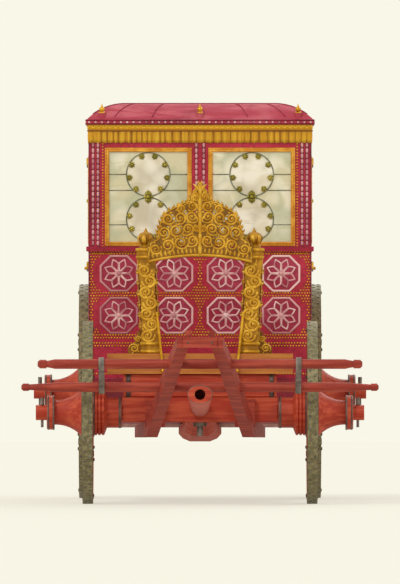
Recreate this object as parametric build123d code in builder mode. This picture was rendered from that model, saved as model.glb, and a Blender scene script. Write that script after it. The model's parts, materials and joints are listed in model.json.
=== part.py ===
# Closed state coach of the seventeenth century, seen standing on its four wheels.
# X runs across the coach, the front faces -Y, Z is up and the wheels stand on Z = 0.
# The origin is the middle of the footprint. All lengths are in millimetres.
from build123d import *
from math import atan2, cos, degrees, hypot, radians, sin, sqrt
import os

# Coach body
body_width = 1440.0
body_length = 1800.0
wall = 40.0
floor_thickness = 30.0
floor_low_z = 504.0
wall_foot_z = 800.0
wall_top_z = 2456.0
sill_half = 310.0

# Roof
eave_reach = 21.0
eave_height = 29.0
crown_z = 2594.0
crown_run = 257.0
roof_skin = 30.0
finial_x = 638.0
finial_inset = 30.0
finial_height = 62.0
fringe_drop = 126.0
fringe_thickness = 13.0

# Windows and doors
window_foot_z = 1665.0
front_window_height = 640.0
side_window_head = 67.0
front_window_inner = 54.0
front_window_outer = 619.0
quarter_margin = 85.0
door_window_width = 400.0
frame_width = 28.0
frame_depth = 24.0
frame_proud = 6.0
frame_lip = 8.0
pane_bite = 8.0
pane_thickness = 5.0
door_sill_z = 540.0
door_top_z = 2322.0
door_gap = 5.0
hinge_reach = 12.0
hinge_pin_r = 6.0
hinge_heights = (760.0, 1500.0, 2180.0)
belt_z = 1632.0
belt_height = 30.0
belt_proud = 20.0

# Seats
bench_depth = 460.0
bench_top_z = 904.0
bench_board = 25.0
cushion_height = 80.0

# Wheels and axles
rear_wheel_r = 707.0
front_wheel_r = 588.0
rear_wheel_room = 13.0
front_half_track = 723.5
rim_width = 68.0
felloe_depth = 72.0
felloe_bevel = 10.0
tyre_thickness = 14.0
rear_spokes = 12
front_spokes = 10
spoke_root = 66.0
spoke_tip = 46.0
spoke_thickness = 44.0
nave_r = 154.0
arm_r = 49.0
nave_neck_r = 78.0
collar_r = 110.0
collar_length = 50.0
collar_out = 215.0
inner_ring_r = 146.0
nave_rings = 3
ring_groove = 10.0
inner_neck_r = 98.0
nose_length = 71.0
linchpin_r = 9.0
linchpin_length = 190.0
linchpin_out = 30.0

# Running gear between the wheels
steer_limit = 18.0
turn_room = 7.0
rear_gap = 250.0
front_reach = 1440.0
rear_beam_half = 530.0
beam_depth = 150.0
beam_bevel = 9.0
rear_beam_above = 53.0
rear_beam_below = 88.0
bed_half = 500.0
bed_below = 62.0
bed_above = 97.7
bolster_height = 152.0
bolster_half = 495.0
bolster_depth = 140.0
kingpin_r = 20.0
perch_height = 98.0
perch_half = 60.0
board_thickness = 24.0
board_half_width = 560.0

# Carved standards and crests
post_width = 115.0
rear_post_depth = 205.0
rear_foot_height = 174.0
rear_foot_reach = 350.0
rear_post_height = 668.0
rear_post_foot_x = 350.0
rear_post_head_x = 380.0
front_post_depth = 150.0
front_post_height = 681.0
front_post_foot_x = 318.0
front_post_head_x = 350.0
transom_half = 600.0
transom_height = 131.0
transom_depth = 180.0
crest_thickness = 40.0
crest_half = 333.0
rear_crest_foot = 491.0
rear_crest_height = 541.0
front_crest_foot = 585.0
front_crest_height = 520.0
finial_r = 52.0

# Draught gear
bar_r = 31.0
lower_bar_half = 1145.0
lower_bar_z = 756.0
lower_bar_out = 680.0
upper_bar_half = 1037.0
upper_bar_z = 906.0
upper_bar_out = 1045.0
fork_width = 76.0
fork_depth = 96.0
fork_reach = 1400.0
fork_tail = 350.0
fork_head_half = 33.0
crossbar_depth = 70.0
fork_foot_x = 290.0
fork_foot_width = 128.0
fork_foot_depth = 44.0
harness_pin_r = 20.0
harness_pin_height = 44.0
strap_x = 630.0

# Clearances
gap = 0.3
running = 0.4

# Places worked out from the sizes above
body_half = body_width / 2
half_length = body_length / 2
rear_half_track = body_half + rear_wheel_room + rim_width / 2
side_window_height = door_top_z - side_window_head - window_foot_z
quarter_width = half_length - wall - sill_half - 2 * quarter_margin
quarter_offset = (half_length - wall + sill_half) / 2
rear_axle_z = rear_wheel_r
front_axle_z = front_wheel_r
turn = radians(steer_limit)
wheel_sweep = front_wheel_r * cos(turn) + (front_half_track + rim_width / 2) * sin(turn)
front_gap = wheel_sweep + turn_room
wheelbase = front_gap + body_length + rear_gap
total_length = front_reach + wheelbase + rear_wheel_r
rear_axle_y = total_length / 2 - rear_wheel_r
front_axle_y = rear_axle_y - wheelbase
body_front_y = front_axle_y + front_gap
body_rear_y = body_front_y + body_length
body_y = (body_front_y + body_rear_y) / 2
eave_z = wall_top_z + eave_height
rear_beam_top = rear_axle_z + rear_beam_above
rear_beam_foot = rear_axle_z - rear_beam_below
rear_beam_back = rear_axle_y + beam_depth / 2
rear_post_z = rear_beam_top + rear_foot_height
bed_foot = front_axle_z - bed_below
bed_top = front_axle_z + bed_above
bolster_foot = bed_top + gap
bolster_top = bolster_foot + bolster_height
transom_top = bolster_top + transom_height
hull_run = half_length - sill_half
hull_rise = wall_foot_z - floor_low_z
hull_r = (hull_run ** 2 + hull_rise ** 2) / (2 * hull_rise)
sides = (-1, 1)


def keep(builder, label):
    """Label a finished piece and write it."""
    builder.part.label = label
    export_step(builder.part, f"parts/{label}.step")


def front_plane(y):
    """Upright plane across the coach: first axis X, second axis Z."""
    return Plane(origin=(0, y, 0), x_dir=(1, 0, 0), z_dir=(0, -1, 0))


def side_plane(x):
    """Upright plane along the coach: first axis Y, second axis Z."""
    return Plane(origin=(x, 0, 0), x_dir=(0, 1, 0), z_dir=(1, 0, 0))


def block(x, y, z, mode=Mode.ADD):
    """A box between two values on each axis."""
    centre = ((x[0] + x[1]) / 2, (y[0] + y[1]) / 2, (z[0] + z[1]) / 2)
    with Locations(centre):
        Box(x[1] - x[0], y[1] - y[0], z[1] - z[0], mode=mode)


def side_block(side, x, y, z, mode=Mode.ADD):
    """A box on one side of the coach, its X values counted outwards."""
    block(sorted((side * x[0], side * x[1])), y, z, mode)


def arc_drop(radius, run):
    """How far an arc has fallen at a distance from the point where it is level."""
    return radius - sqrt(radius ** 2 - run ** 2)


def hull_z(from_middle, depth=0.0):
    """Height of the boat-shaped bottom, or of a line a depth inside it."""
    run = max(abs(from_middle) - sill_half, 0.0)
    return floor_low_z + depth + arc_drop(hull_r - depth, run)


os.makedirs("parts", exist_ok=True)


# Coach body: floor, four walls and the boat-shaped bottom


def hull_outline(x):
    """Side view of the closed body, its bottom curved up to both ends."""
    half_run = sill_half + hull_run / 2
    with BuildSketch(side_plane(x)) as outline:
        with BuildLine():
            Polyline(
                (body_front_y, wall_foot_z),
                (body_front_y, wall_top_z),
                (body_rear_y, wall_top_z),
                (body_rear_y, wall_foot_z),
            )
            ThreePointArc(
                (body_rear_y, wall_foot_z),
                (body_y + half_run, hull_z(half_run)),
                (body_y + sill_half, floor_low_z),
            )
            Line((body_y + sill_half, floor_low_z), (body_y - sill_half, floor_low_z))
            ThreePointArc(
                (body_y - sill_half, floor_low_z),
                (body_y - half_run, hull_z(half_run)),
                (body_front_y, wall_foot_z),
            )
        make_face()
    return outline.sketch


with BuildPart() as floor:
    end = half_length - wall
    middle = (sill_half + end) / 2
    with BuildSketch(side_plane(-body_half + wall)):
        with BuildLine():
            for side in sides:
                low = hull_z(end)
                high = hull_z(end, floor_thickness)
                ThreePointArc(
                    (body_y + side * sill_half, floor_low_z),
                    (body_y + side * middle, hull_z(middle)),
                    (body_y + side * end, low),
                )
                Line((body_y + side * end, low), (body_y + side * end, high))
                ThreePointArc(
                    (body_y + side * end, high),
                    (body_y + side * middle, hull_z(middle, floor_thickness)),
                    (body_y + side * sill_half, floor_low_z + floor_thickness),
                )
            for z in (floor_low_z, floor_low_z + floor_thickness):
                Line((body_y - sill_half, z), (body_y + sill_half, z))
        make_face()
    extrude(amount=body_width - 2 * wall)
keep(floor, "floor")

with BuildPart() as bottom_board:
    block(
        (-board_half_width, board_half_width),
        (body_y - sill_half, body_y + sill_half),
        (floor_low_z - board_thickness, floor_low_z),
    )
keep(bottom_board, "bottom_board")


def end_wall(y0):
    """One end wall, whole thickness, cut to the curved bottom."""
    extrude(hull_outline(-body_half), amount=body_width)
    block((-body_half, body_half), (y0, y0 + wall), (0, wall_top_z), Mode.INTERSECT)


front_window_z = window_foot_z + front_window_height / 2
side_window_z = window_foot_z + side_window_height / 2
front_window_x = (front_window_inner + front_window_outer) / 2
front_window_width = front_window_outer - front_window_inner

with BuildPart() as front_wall:
    end_wall(body_front_y)
    with BuildSketch(front_plane(body_front_y)):
        with Locations(*[(side * front_window_x, front_window_z) for side in sides]):
            Rectangle(front_window_width, front_window_height)
    extrude(amount=-wall, mode=Mode.SUBTRACT)
keep(front_wall, "front_wall")

with BuildPart() as rear_wall:
    end_wall(body_rear_y - wall)
keep(rear_wall, "rear_wall")


def side_wall(side):
    """One side wall between the end walls, with its doorway and two windows."""
    inner = body_half - wall
    start = inner if side > 0 else -body_half
    with BuildPart() as shell:
        extrude(hull_outline(start), amount=wall)
        with BuildSketch(side_plane(start)):
            with Locations((body_y, (door_sill_z + door_top_z) / 2)):
                Rectangle(2 * sill_half, door_top_z - door_sill_z)
            with Locations(*[(body_y + end * quarter_offset, side_window_z) for end in sides]):
                Rectangle(quarter_width, side_window_height)
        extrude(amount=wall, mode=Mode.SUBTRACT)
        for y in (body_front_y, body_rear_y - wall):
            block((-body_half, body_half), (y, y + wall), (0, crown_z), Mode.SUBTRACT)
    return shell


for side, name in zip(sides, ("right_wall", "left_wall")):
    keep(side_wall(side), name)


# Roof, finials and fringe


def dome_outline(plane, middle, half, foot, low, crown_half, crown):
    """Low-domed section: upright edges, an arc on each side and a level crown."""
    run = half - crown_half
    radius = (run ** 2 + (crown - low) ** 2) / (2 * (crown - low))
    half_fall = arc_drop(radius, run / 2)
    with BuildSketch(plane) as outline:
        with BuildLine():
            for side in sides:
                Line((middle + side * half, foot), (middle + side * half, low))
                ThreePointArc(
                    (middle + side * half, low),
                    (middle + side * (crown_half + run / 2), crown - half_fall),
                    (middle + side * crown_half, crown),
                )
            Line((middle - half, foot), (middle + half, foot))
            Line((middle - crown_half, crown), (middle + crown_half, crown))
        make_face()
    return outline.sketch


eave_half_x = body_half + eave_reach
eave_half_y = half_length + eave_reach
roof_r = (crown_run ** 2 + (crown_z - eave_z) ** 2) / (2 * (crown_z - eave_z))
finial_foot_r = 22.0
plinth_r = finial_foot_r + 2
finial_seat = crown_z - arc_drop(roof_r, crown_run - finial_inset - plinth_r) + gap
finial_ys = (body_front_y - eave_reach + finial_inset, body_rear_y + eave_reach - finial_inset)
finial_places = [(x, y) for x in (-finial_x, 0, finial_x) for y in finial_ys]


def dome(inset, skirt, low, crown):
    """Hipped dome: one section along the coach cut to another across it."""
    half_x = eave_half_x - inset
    half_y = eave_half_y - inset
    across = front_plane(body_y + half_y)
    along = side_plane(-half_x)
    with BuildPart() as shape:
        section = dome_outline(across, 0, half_x, skirt, low, eave_half_x - crown_run, crown)
        extrude(section, amount=2 * half_y)
        section = dome_outline(along, body_y, half_y, skirt, low, eave_half_y - crown_run, crown)
        extrude(section, amount=2 * half_x, mode=Mode.INTERSECT)
    return shape.part


with BuildPart() as roof:
    add(dome(0, wall_top_z, eave_z, crown_z))
    with BuildSketch(Plane.XY.offset(eave_z)):
        with Locations(*finial_places):
            Circle(plinth_r)
    extrude(amount=finial_seat - eave_z)
    add(dome(eave_reach + wall, wall_top_z, wall_top_z + roof_skin / 2, crown_z - roof_skin), mode=Mode.SUBTRACT)
keep(roof, "roof")

with BuildPart() as finial:
    with BuildSketch(Plane.XZ):
        with BuildLine():
            Polyline((0, finial_height), (0, 0), (finial_foot_r, 0), (finial_foot_r, 6), (9, 11))
            ThreePointArc((9, 11), (19, 23), (9, 37))
            Line((9, 37), (0, finial_height))
        make_face()
    revolve(axis=Axis.Z)

with BuildPart() as roof_finials:
    with Locations(*[(x, y, finial_seat) for x, y in finial_places]):
        add(finial.part)
keep(roof_finials, "roof_finials")

with BuildPart() as fringe:
    outer = body_half + fringe_thickness
    far = half_length + fringe_thickness
    band = (wall_top_z - fringe_drop, wall_top_z - gap)
    block((-outer, outer), (body_y - far, body_y + far), band)
    block(
        (-body_half - gap, body_half + gap),
        (body_front_y - gap, body_rear_y + gap),
        band,
        Mode.SUBTRACT,
    )
keep(fringe, "fringe")


# Belt rails round the body, parted at the doors

with BuildPart() as belt_rails:
    band = (belt_z, belt_z + belt_height)
    parting = sill_half + 2 * belt_proud
    reach = body_half + belt_proud
    block((-reach, reach), (body_front_y - belt_proud, body_rear_y + belt_proud), band)
    block((-body_half, body_half), (body_front_y, body_rear_y), band, Mode.SUBTRACT)
    block((-reach, reach), (body_y - parting, body_y + parting), band, Mode.SUBTRACT)
keep(belt_rails, "belt_rails")


# Window frames and panes, the same construction in walls and doors


def side_face(side):
    """Outer face of a side wall: first axis along the coach, second axis Z."""
    return Plane(origin=(side * body_half, 0, 0), x_dir=(0, side, 0), z_dir=(side, 0, 0))


front_face = front_plane(body_front_y)
# Each window: face, place along the face, width and height of its opening
windows = [
    (front_face, side * front_window_x, front_window_width, front_window_height) for side in sides
]
for side in sides:
    for end in sides:
        u = side * (body_y + end * quarter_offset)
        windows.append((side_face(side), u, quarter_width, side_window_height))


def window_frame(face, u, width, height):
    """A frame with a lip outside and a rebate behind it for the pane."""
    window_z = window_foot_z + height / 2
    bar = frame_width - pane_bite
    with BuildSketch(face.offset(-frame_depth)) as ring:
        with Locations((u, window_z)):
            Rectangle(width - 2 * gap, height - 2 * gap)
            Rectangle(width - 2 * bar, height - 2 * bar, mode=Mode.SUBTRACT)
    extrude(ring.sketch, amount=frame_depth + frame_proud)
    with BuildSketch(face.offset(frame_proud - frame_lip)) as lip:
        with Locations((u, window_z)):
            Rectangle(width - 2 * gap, height - 2 * gap)
            Rectangle(width - 2 * frame_width, height - 2 * frame_width, mode=Mode.SUBTRACT)
    extrude(lip.sketch, amount=frame_lip)


def window_pane(face, u, width, height):
    """The mica sheet, set in the rebate behind the frame's lip."""
    window_z = window_foot_z + height / 2
    bar = frame_width - pane_bite + gap
    with BuildSketch(face.offset(frame_proud - frame_lip - gap)) as sheet:
        with Locations((u, window_z)):
            Rectangle(width - 2 * bar, height - 2 * bar)
    extrude(sheet.sketch, amount=-pane_thickness)


with BuildPart() as window_frames:
    for window in windows:
        window_frame(*window)
keep(window_frames, "window_frames")

with BuildPart() as window_panes:
    for window in windows:
        window_pane(*window)
keep(window_panes, "window_panes")


# Doors, hung outside on three pintles each at their front edge

door_half = sill_half - door_gap
door_foot = door_sill_z + door_gap
door_top = door_top_z - door_gap
hinge_x = body_half + hinge_reach
hinge_y = body_y - sill_half + door_gap / 2
pintle_height = 20.0
eye_height = 40.0
eye_r = 11.0
strap_thickness = 7.0
strap_length = 170.0


def door(side, name):
    """Door panel, its pane and its fittings on one side of the coach."""
    face = side_face(side)
    u = side * body_y
    with BuildPart() as panel:
        side_block(
            side,
            (body_half - wall, body_half),
            (body_y - door_half, body_y + door_half),
            (door_foot, door_top),
        )
        with BuildSketch(face):
            with Locations((u, side_window_z)):
                Rectangle(door_window_width, side_window_height)
        extrude(amount=-wall, mode=Mode.SUBTRACT)
    keep(panel, name)
    with BuildPart() as pane:
        window_pane(face, u, door_window_width, side_window_height)
    keep(pane, f"{name}_pane")
    with BuildPart() as fittings:
        window_frame(face, u, door_window_width, side_window_height)
        side_block(
            side,
            (body_half, body_half + belt_proud),
            (body_y - door_half + 2 * belt_proud, body_y + door_half),
            (belt_z, belt_z + belt_height),
        )
        for z in hinge_heights:
            low = z + pintle_height + gap
            with BuildSketch(Plane.XY.offset(low)):
                with Locations((side * hinge_x, hinge_y)):
                    Circle(eye_r)
                strap_y = body_y - door_half
                with Locations((side * (body_half + strap_thickness / 2), strap_y + strap_length / 2)):
                    Rectangle(strap_thickness, strap_length)
                with Locations((side * hinge_x, hinge_y)):
                    Circle(hinge_pin_r + gap, mode=Mode.SUBTRACT)
            extrude(amount=eye_height)
        with BuildSketch(face):
            with Locations((u + side * (door_half - 45), belt_z - 110)):
                Circle(24)
        extrude(amount=5)
        with BuildSketch(face.offset(5)):
            with Locations((u + side * (door_half - 45), belt_z - 110)):
                Circle(8)
        extrude(amount=30)
        with BuildSketch(face.offset(28)):
            with Locations((u + side * (door_half - 85), belt_z - 110)):
                SlotOverall(110, 20)
        extrude(amount=12)
    keep(fittings, f"{name}_fittings")


for side, name in zip(sides, ("right_door", "left_door")):
    door(side, name)

with BuildPart() as door_pintles:
    pintle_y = (hinge_y - 38, hinge_y)
    for side in sides:
        for z in hinge_heights:
            side_block(side, (body_half, hinge_x + 9), pintle_y, (z, z + pintle_height))
            with BuildSketch(Plane.XY.offset(z)):
                with Locations((side * hinge_x, hinge_y)):
                    Circle(9)
            extrude(amount=pintle_height)
            with BuildSketch(Plane.XY.offset(z)):
                with Locations((side * hinge_x, hinge_y)):
                    Circle(hinge_pin_r)
            extrude(amount=pintle_height + eye_height + 6)
keep(door_pintles, "door_pintles")


# Benches at both ends and their cushions

seat_half = body_half - wall
riser = half_length - wall - bench_depth

with BuildPart() as benches:
    for end in sides:
        back = body_y + end * (half_length - wall)
        front = body_y + end * riser
        block(
            (-seat_half, seat_half),
            sorted((back, front)),
            (bench_top_z - bench_board, bench_top_z),
        )
        block(
            (-seat_half, seat_half),
            sorted((front, front + end * bench_board)),
            (hull_z(riser + bench_board, floor_thickness) + gap, bench_top_z),
        )
keep(benches, "benches")

for end, name in zip(sides, ("front_cushion", "rear_cushion")):
    with BuildPart() as cushion:
        near = body_y + end * (half_length - wall - 4)
        far = body_y + end * (riser - 15)
        block(
            (-seat_half + 4, seat_half - 4),
            sorted((near, far)),
            (bench_top_z + gap, bench_top_z + gap + cushion_height),
        )
        fillet(cushion.edges(), radius=22)
    keep(cushion, name)


# Wheels: a turned nave, tapered spokes, felloes and iron tyre


def wheel_plane(side, axle_y, axle_z):
    """Plane through an axle: first axis outwards along it, second axis Z."""
    return Plane(origin=(0, axle_y, axle_z), x_dir=(side, 0, 0), z_dir=(0, -side, 0))


def spoke(start, end):
    """One upright spoke with stopped chamfers, from its root in the nave to its end in the felloe."""
    # Each station: share of the length, width, thickness, chamfer
    stations = [
        (0.0, spoke_root, spoke_thickness, 6),
        (0.34, spoke_root - 10, spoke_thickness - 4, 8),
        (0.46, spoke_tip - 4, spoke_thickness - 8, 14),
        (1.0, spoke_tip, spoke_thickness - 8, 12),
    ]
    with BuildPart() as blank:
        for share, width, thickness, cut in stations:
            with BuildSketch(Plane(origin=(0, 0, start + share * (end - start)), z_dir=(0, 0, 1))):
                corners = []
                for u, v in ((1, 1), (-1, 1), (-1, -1), (1, -1)):
                    pair = [
                        (u * thickness / 2, v * (width / 2 - cut)),
                        (u * (thickness / 2 - cut), v * width / 2),
                    ]
                    corners += pair if u * v > 0 else pair[::-1]
                Polygon(*corners, align=None)
        loft(ruled=True)
    return blank.part


def wheel_pair(axle_y, radius, half_track, inner_end, spokes, end):
    """A wooden wheel with its nave and the iron tyre round it, and their mirror images."""
    side = sides[0]
    axle = Axis((0, axle_y, radius), (1, 0, 0))
    drum = rim_width / 2 + 6
    ring_start = half_track - drum - 70
    neck_end = half_track + collar_out
    felloe_r = radius - tyre_thickness - gap
    ring_profile = []
    for ring in range(nave_rings):
        high = ring_start + 70 - ring * 70 / nave_rings
        low = ring_start + 70 - (ring + 1) * 70 / nave_rings
        ring_profile += [
            (high, inner_ring_r - ring_groove), (high - 6, inner_ring_r),
            (low + 6, inner_ring_r), (low + 0.5, inner_ring_r - ring_groove),
        ]
    face = Plane(
        origin=(side * half_track, axle_y, radius), x_dir=(0, 1, 0), z_dir=(1, 0, 0)
    )
    inner_r = felloe_r - felloe_depth
    one_spoke = spoke(0.55 * nave_r, inner_r + felloe_depth / 2)
    with BuildPart() as wood:
        with BuildSketch(wheel_plane(side, axle_y, radius)):
            Polygon(
                (half_track - rim_width / 2, felloe_r),
                (half_track + rim_width / 2, felloe_r),
                (half_track + rim_width / 2, inner_r + felloe_bevel),
                (half_track + rim_width / 2 - felloe_bevel, inner_r),
                (half_track - rim_width / 2 + felloe_bevel, inner_r),
                (half_track - rim_width / 2, inner_r + felloe_bevel),
                align=None,
            )
        revolve(axis=axle)
        hub = Pos(side * half_track, axle_y, radius)
        add([hub * Rot(X=360 * index / spokes) * one_spoke for index in range(spokes)])
        with BuildSketch(wheel_plane(side, axle_y, radius)):
            with BuildLine():
                Polyline(
                    (half_track + drum, nave_r),
                    (ring_start + 70, nave_r),
                    *ring_profile,
                    (ring_start - 14, inner_neck_r),
                    (inner_end, inner_neck_r),
                    (inner_end, 0),
                    (neck_end + collar_length, 0),
                    (neck_end + collar_length, collar_r - 6),
                    (neck_end + collar_length - 8, collar_r),
                    (neck_end, collar_r),
                    (neck_end, nave_neck_r),
                )
                ThreePointArc(
                    (neck_end, nave_neck_r),
                    ((neck_end + half_track + drum) / 2 - 12, (nave_neck_r + nave_r) / 2 - 18),
                    (half_track + drum, nave_r),
                )
            make_face()
        revolve(axis=axle)
        with BuildSketch(Plane(origin=(side * inner_end, axle_y, radius), z_dir=(side, 0, 0))):
            Circle(arm_r + running)
        extrude(amount=neck_end + collar_length - inner_end, mode=Mode.SUBTRACT)
    with BuildPart() as tyre:
        with BuildSketch(face):
            Circle(radius)
            Circle(radius - tyre_thickness, mode=Mode.SUBTRACT)
        extrude(amount=rim_width / 2, both=True)
    for made, name in ((wood, "wheel"), (tyre, "wheel_tyre")):
        keep(made, f"{end}_right_{name}")
        with BuildPart() as image:
            mirror(made.part, about=Plane.YZ)
        keep(image, f"{end}_left_{name}")


wheel_pair(rear_axle_y, rear_wheel_r, rear_half_track, rear_beam_half + door_gap, rear_spokes, "rear")
wheel_pair(front_axle_y, front_wheel_r, front_half_track, bed_half + door_gap, front_spokes, "front")


def axle_arms(y, z, start, half_track):
    """Round arms that the wheels turn on, drilled upright for the linchpins."""
    end = half_track + collar_out + collar_length + nose_length
    pin_x = end - nose_length + linchpin_out
    for side in sides:
        with BuildSketch(Plane(origin=(side * start, y, z), z_dir=(side, 0, 0))) as arm:
            Circle(arm_r)
        extrude(arm.sketch, amount=end - start)
        with BuildSketch(Plane(origin=(side * pin_x, y, z), z_dir=(0, 0, 1))) as hole:
            Circle(linchpin_r + gap)
        extrude(hole.sketch, amount=arm_r, both=True, mode=Mode.SUBTRACT)


def linchpins(y, z, half_track):
    """Upright pins through the ends of an axle, each with a flat head."""
    pin_x = half_track + collar_out + collar_length + linchpin_out
    for side in sides:
        with BuildSketch(Plane(origin=(side * pin_x, y, z), z_dir=(0, 0, 1))) as pin:
            Circle(linchpin_r)
        extrude(pin.sketch, amount=linchpin_length / 2, both=True)
        head_z = z + arm_r + gap
        with BuildSketch(Plane(origin=(side * pin_x, y, head_z), z_dir=(0, 0, 1))) as head:
            SlotOverall(44, 26, rotation=90)
        extrude(head.sketch, amount=linchpin_length / 2 - arm_r - gap)


# Rear axle, perch and the timbers behind them

perch_foot = rear_beam_top + gap - 70
boss_top = perch_foot + perch_height

with BuildPart() as rear_axle:
    block(
        (-rear_beam_half, rear_beam_half),
        (rear_axle_y - beam_depth / 2, rear_beam_back),
        (rear_beam_foot, rear_beam_top),
    )
    block(
        (-perch_half - gap, perch_half + gap),
        (rear_axle_y - beam_depth, rear_axle_y + beam_depth),
        (perch_foot - gap, rear_beam_top + 1),
        Mode.SUBTRACT,
    )
    axle_arms(rear_axle_y, rear_axle_z, rear_beam_half, rear_half_track)
keep(rear_axle, "rear_axle")

with BuildPart() as rear_linchpins:
    linchpins(rear_axle_y, rear_axle_z, rear_half_track)
keep(rear_linchpins, "rear_linchpins")

perch_front_foot = bed_top + door_gap + gap
perch_middle_top = floor_low_z - board_thickness - 8
perch_middle_foot = perch_middle_top - perch_height + 14
# Each station: y, top, foot, half width at the top, half width at the foot
perch_stations = [
    (rear_beam_back + 20, boss_top, perch_foot, perch_half, perch_half - 8),
    (rear_axle_y - beam_depth / 2 - 10, boss_top, perch_foot, perch_half, perch_half - 8),
    (body_y + 0.90 * half_length, hull_z(0.90 * half_length) - 50, hull_z(0.90 * half_length) - 150, 72, 56),
    (body_y + 0.62 * half_length, hull_z(0.62 * half_length) - 24, hull_z(0.62 * half_length) - 120, 105, 72),
    (body_y + 0.33 * half_length, perch_middle_top, perch_middle_foot, 140, 84),
    (body_y - 0.33 * half_length, perch_middle_top, perch_middle_foot, 140, 84),
    (body_y - 0.62 * half_length, hull_z(0.62 * half_length) - 24, hull_z(0.62 * half_length) - 120, 105, 72),
    (body_y - 0.92 * half_length, hull_z(0.92 * half_length) - 60, hull_z(0.92 * half_length) - 160, 72, 56),
    (front_axle_y + 0.5 * front_gap, perch_front_foot + 70, perch_front_foot - 30, 62, 58),
    (front_axle_y + bolster_depth / 2, perch_front_foot + perch_height, perch_front_foot, perch_half, perch_half - 8),
]

with BuildPart() as perch:
    for y, top, foot, half_top, half_foot in perch_stations:
        with BuildSketch(front_plane(y)):
            shoulder = foot + 0.6 * (top - foot)
            lower = foot + 0.24 * (top - foot)
            half_lower = 0.4 * half_top + 0.6 * half_foot + 0.12 * (half_top - half_foot)
            Polygon(
                (-half_top, top), (half_top, top), (half_top, shoulder),
                (half_lower, lower), (0.78 * half_foot, foot),
                (-0.78 * half_foot, foot), (-half_lower, lower), (-half_top, shoulder),
                align=None,
            )
    loft(ruled=True)
keep(perch, "perch")

rear_foot_back = rear_axle_y + rear_post_depth / 2 + rear_foot_reach
pedestal_back = rear_foot_back - 40
upright_outer = rear_post_foot_x + 62.0
upright_inner = rear_post_foot_x
bracket_front = rear_axle_y + 106.0
bracket_back = bracket_front + 60.0

with BuildPart() as rear_pedestal:
    with BuildSketch(front_plane(pedestal_back)):
        with BuildLine():
            Polyline(
                (-157, rear_beam_foot + 80), (157, rear_beam_foot + 80),
                (236, rear_post_z + 1 + gap), (-236, rear_post_z + 1 + gap), close=True,
            )
        make_face()
    extrude(amount=pedestal_back - rear_beam_back - 30)
    block(
        (-250, 250),
        (rear_beam_back + 34, pedestal_back + 16),
        (rear_post_z + 1 + gap, rear_post_z + 20),
    )
keep(rear_pedestal, "rear_pedestal")

with BuildPart() as rear_uprights:
    for side in sides:
        side_block(
            side,
            (upright_inner, upright_outer),
            (rear_beam_back, bracket_back),
            (rear_beam_foot - 9, rear_post_z - gap),
        )
keep(rear_uprights, "rear_uprights")

with BuildPart() as rear_brackets:
    for side in sides:
        with BuildSketch(front_plane(bracket_back)):
            low = rear_post_z - 200
            step = rear_post_z - 108
            high = rear_post_z - 10
            with BuildLine():
                Polyline(
                    (side * upright_outer, low), (side * (upright_outer + 134), low),
                    (side * (upright_outer + 134), step), (side * (upright_outer + 200), step),
                )
                ThreePointArc(
                    (side * (upright_outer + 200), step),
                    (side * (upright_outer + 236), (step + high) / 2),
                    (side * (upright_outer + 200), high),
                )
                Polyline(
                    (side * (upright_outer + 200), high), (side * upright_outer, high),
                    (side * upright_outer, low),
                )
            make_face()
        extrude(amount=bracket_back - bracket_front)
keep(rear_brackets, "rear_brackets")


# Carved standards at the back, each a foot, a leaning post and a finial


def turned_finial(x, y, z, height, radius):
    """Bulb with a neck below and a point above, turned about an upright axis."""
    with BuildSketch(Plane(origin=(x, y, 0), x_dir=(1, 0, 0), z_dir=(0, -1, 0))) as half_view:
        with BuildLine():
            Polyline((0, z + height), (0, z), (radius * 0.8, z), (radius * 0.8, z + 0.1 * height))
            Line((radius * 0.8, z + 0.1 * height), (radius * 0.45, z + 0.2 * height))
            ThreePointArc(
                (radius * 0.45, z + 0.2 * height),
                (radius, z + 0.48 * height),
                (radius * 0.3, z + 0.76 * height),
            )
            Line((radius * 0.3, z + 0.76 * height), (0, z + height))
        make_face()
    revolve(half_view.sketch, axis=Axis((x, y, 0), (0, 0, 1)))


def leaning_outline(side, y, z, height, foot_x, head_x, waist):
    """Front view of a post: a base and a cap with a waisted shaft between."""
    half = post_width / 2
    base = z + 0.10 * height
    cap = z + 0.92 * height
    lean = (head_x - foot_x) / height

    def place(offset, level):
        return (side * (foot_x + lean * (level - z) + offset), level)

    with BuildSketch(front_plane(y)) as outline:
        with BuildLine():
            Polyline(place(-half, base), place(-half, z), place(half, z), place(half, base))
            ThreePointArc(
                place(half, base), place(half - waist, (base + cap) / 2), place(half, cap)
            )
            Polyline(
                place(half, cap), place(half, z + height), place(-half, z + height), place(-half, cap)
            )
            ThreePointArc(
                place(-half, cap), place(waist - half, (base + cap) / 2), place(-half, base)
            )
        make_face()
    return outline.sketch


def rear_post_side(x):
    """Side view of a rear standard: straight front, carved back and long foot."""
    front = rear_axle_y - rear_post_depth / 2
    back = front + rear_post_depth
    foot = rear_beam_top + gap
    head = rear_post_z + rear_post_height
    waist = back - 46
    toe = rear_foot_back - 70
    with BuildSketch(side_plane(x)) as outline:
        with BuildLine():
            Line((front, foot), (front, head))
            Line((front, head), (back - 20, head))
            ThreePointArc((back - 20, head), (back - 1, head - 70), (waist, head - 150))
            ThreePointArc((waist, head - 150), (waist - 22, head - 290), (waist, head - 400))
            ThreePointArc((waist, head - 400), (back + 6, head - 480), (back - 30, head - 570))
            ThreePointArc(
                (back - 30, head - 570), (back - 14, rear_post_z + 34), (back + 60, rear_post_z)
            )
            Line((back + 60, rear_post_z), (toe, rear_post_z))
            ThreePointArc(
                (toe, rear_post_z), (rear_foot_back, rear_post_z - 0.5 * rear_foot_height), (toe, foot)
            )
            Line((toe, foot), (front, foot))
        make_face()
    return outline.sketch


rear_foot_x = (241.0, 345.0)


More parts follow.
